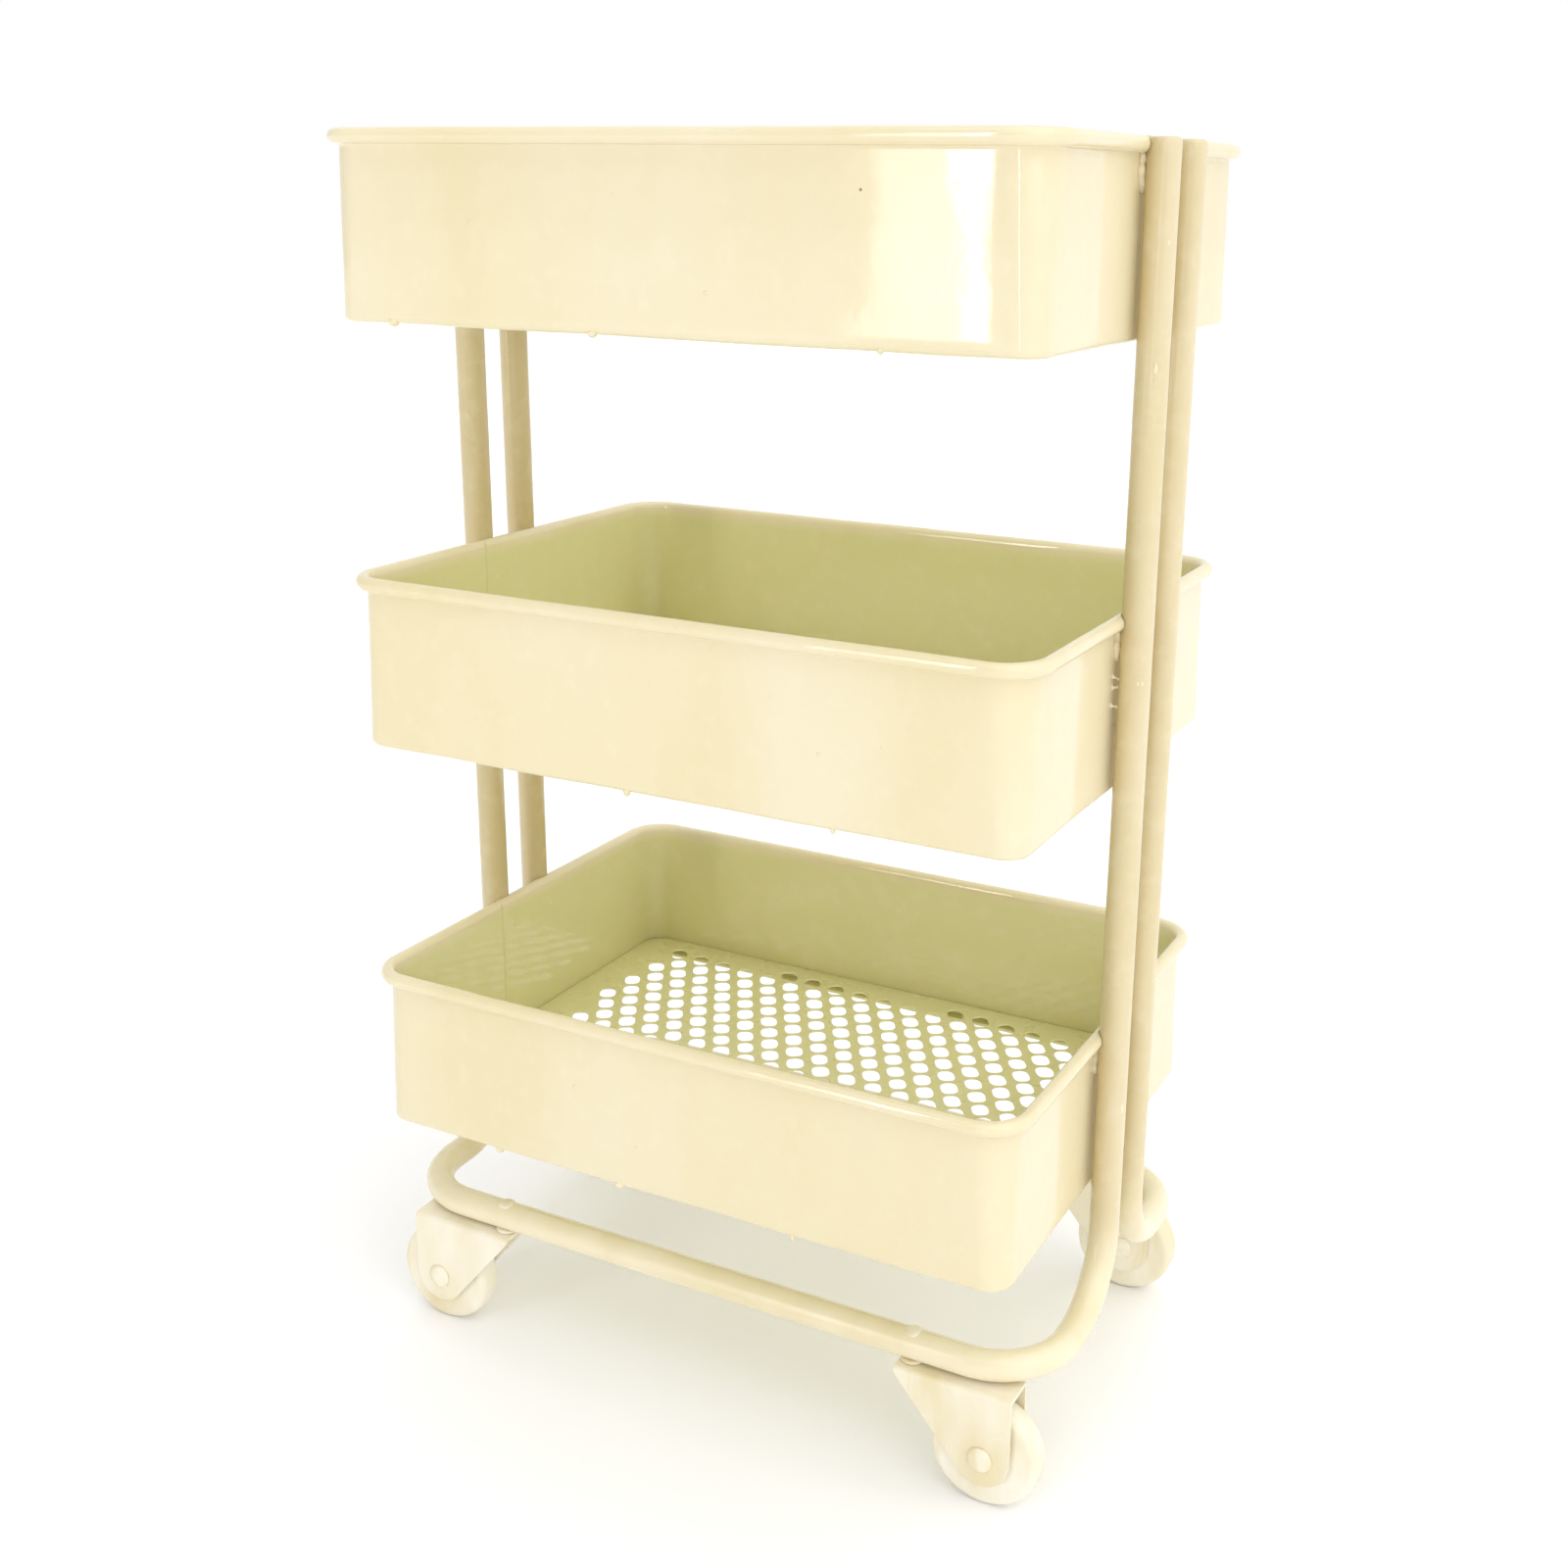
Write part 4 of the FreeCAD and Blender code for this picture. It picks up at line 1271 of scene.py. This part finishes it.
def build_stage():
    """White paper, a white room that is dimmer on one side, narrow windows and the camera."""
    stage = bpy.context.scene.cart_stage
    scene = bpy.context.scene
    scene.view_settings.view_transform = "Standard"
    half = FLOOR_HALF
    mesh = bpy.data.meshes.new("studio_floor")
    mesh.from_pydata([(-half, -half, 0), (half, -half, 0), (half, half, 0), (-half, half, 0)], [],
                     [(0, 1, 2, 3)])
    floor = bpy.data.objects.new("studio_floor", mesh)
    scene.collection.objects.link(floor)
    mesh.materials.append(paper_finish())
    world = bpy.data.worlds.new("white_surroundings")
    world.use_nodes = True
    back = world.node_tree.nodes.get("Background")
    back.inputs["Color"].default_value = (1.0, 1.0, 1.0, 1)
    # White walls behind and to the right; the left front of the room is dimmer
    direction = add_node(world.node_tree, "ShaderNodeTexCoord").outputs["Generated"]
    towards = add_node(world.node_tree, "ShaderNodeVectorMath", {"operation": "DOT_PRODUCT"}, {
        0: direction, 1: BRIGHT_SIDE}).outputs["Value"]
    strength = add_node(world.node_tree, "ShaderNodeMapRange", {}, {
        0: towards, 1: DIM_FROM, 2: BRIGHT_FROM, 3: stage.sky * stage.dim,
        4: stage.sky}).outputs[0]
    world.node_tree.links.new(strength, back.inputs["Strength"])
    scene.world = world
    for name, (place, target, width, height, setting, share) in SOFTBOXES.items():
        area_light(name, place, target, width, height, getattr(stage, setting) * share)
    sun_data = bpy.data.lights.new("veiled_sun", "SUN")
    sun_data.energy = stage.sun
    sun_data.angle = SUN_SPREAD
    sun = bpy.data.objects.new("veiled_sun", sun_data)
    scene.collection.objects.link(sun)
    sun.rotation_euler = Vector(SUN_DIRECTION).to_track_quat("Z", "Y").to_euler()
    camera_data = bpy.data.cameras.new("studio_camera")
    camera = bpy.data.objects.new("studio_camera", camera_data)
    scene.collection.objects.link(camera)
    camera_data.sensor_width = 36.0
    camera_data.lens = stage.lens
    camera_data.shift_x, camera_data.shift_y = CAMERA_SHIFT
    camera_data.clip_start = 0.01
    camera_data.dof.use_dof = False
    turn = Matrix.Rotation(stage.azimuth, 4, "Z")
    tilt = Matrix.Rotation(math.pi / 2 - stage.elevation, 4, "X")
    lean = Matrix.Rotation(stage.roll, 4, "Z")
    camera.matrix_world = Matrix.Translation(CAMERA_PLACE) @ turn @ tilt @ lean
    scene.camera = camera


# ---------------------------------------------------------------- add-on

class CartBuildTrays(bpy.types.Operator):
    """Build the three trays' walls with their rolled rims"""
    bl_idname = "cart.build_trays"
    bl_label = "Tray walls"

    def execute(self, context):
        for tier in TIERS:
            build_tray(tier)
        return {"FINISHED"}


class CartBuildFloors(bpy.types.Operator):
    """Build the three perforated floors"""
    bl_idname = "cart.build_floors"
    bl_label = "Punched floors"

    def execute(self, context):
        for tier in TIERS:
            build_floor(tier)
        return {"FINISHED"}


class CartBuildFrame(bpy.types.Operator):
    """Build the two bent wire loops"""
    bl_idname = "cart.build_frame"
    bl_label = "Frame wires"

    def execute(self, context):
        for node, side_y in FRAME_LOOPS.items():
            build_frame_loop(node, side_y)
        return {"FINISHED"}


class CartBuildSolder(bpy.types.Operator):
    """Build the solder joints between trays and uprights"""
    bl_idname = "cart.build_solder"
    bl_label = "Solder joints"

    def execute(self, context):
        for tier in TIERS:
            build_solder(tier)
        return {"FINISHED"}


class CartBuildDrips(bpy.types.Operator):
    """Build the paint's drops, nibs and lumps"""
    bl_idname = "cart.build_drips"
    bl_label = "Paint drops and lumps"

    def execute(self, context):
        for tier in TIERS:
            build_drips(tier)
        build_wire_lumps()
        return {"FINISHED"}


class CartBuildBrackets(bpy.types.Operator):
    """Build the four folded caster brackets"""
    bl_idname = "cart.build_brackets"
    bl_label = "Caster brackets"

    def execute(self, context):
        for corner, side_x in CORNERS.items():
            build_bracket(corner, side_x)
        return {"FINISHED"}


class CartBuildWheels(bpy.types.Operator):
    """Build the four wheels"""
    bl_idname = "cart.build_wheels"
    bl_label = "Wheels"

    def execute(self, context):
        for corner in CORNERS:
            build_wheel(corner)
        return {"FINISHED"}


class CartBuildRivets(bpy.types.Operator):
    """Build the kingpins, spacer washers and axle rivets"""
    bl_idname = "cart.build_rivets"
    bl_label = "Rivets and washers"

    def execute(self, context):
        for corner in CORNERS:
            build_kingpin(corner)
            build_washer(corner)
            build_axle_rivet(corner)
        return {"FINISHED"}


class CartBuildStage(bpy.types.Operator):
    """Set the pale floor, the soft lights and the camera"""
    bl_idname = "cart.build_stage"
    bl_label = "Stage"

    def execute(self, context):
        build_stage()
        return {"FINISHED"}


OPERATORS = (CartBuildTrays, CartBuildFloors, CartBuildFrame, CartBuildSolder, CartBuildDrips,
             CartBuildBrackets, CartBuildWheels, CartBuildRivets, CartBuildStage)


class CartPanel(bpy.types.Panel):
    """Sizes, colours and build steps of the cart"""
    bl_idname = "CART_PT_build"
    bl_label = "Utility cart"
    bl_space_type = "VIEW_3D"
    bl_region_type = "UI"
    bl_category = "Cart"

    def draw(self, context):
        layout = self.layout
        for group in SETTINGS:
            settings = getattr(context.scene, group)
            box = layout.box()
            for name in settings.__annotations__:
                box.prop(settings, name)
        for operator in OPERATORS:
            layout.operator(operator.bl_idname)


SETTINGS = {"cart_shape": CartShape, "cart_paint": CartPaint, "cart_stage": CartStage}


def register():
    """Add the settings, operators and panel to Blender."""
    for cls in (*SETTINGS.values(), *OPERATORS, CartPanel):
        bpy.utils.register_class(cls)
    for name, cls in SETTINGS.items():
        setattr(bpy.types.Scene, name, PointerProperty(type=cls))


def unregister():
    """Take them away again."""
    for name in SETTINGS:
        delattr(bpy.types.Scene, name)
    for cls in reversed((*SETTINGS.values(), *OPERATORS, CartPanel)):
        bpy.utils.unregister_class(cls)


def main():
    """Build every piece in order."""
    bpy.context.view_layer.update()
    register()
    bpy.ops.cart.build_trays()
    bpy.ops.cart.build_floors()
    bpy.ops.cart.build_frame()
    bpy.ops.cart.build_solder()
    bpy.ops.cart.build_drips()
    bpy.ops.cart.build_brackets()
    bpy.ops.cart.build_wheels()
    bpy.ops.cart.build_rivets()
    bpy.ops.cart.build_stage()


if __name__ == "__main__":
    main()
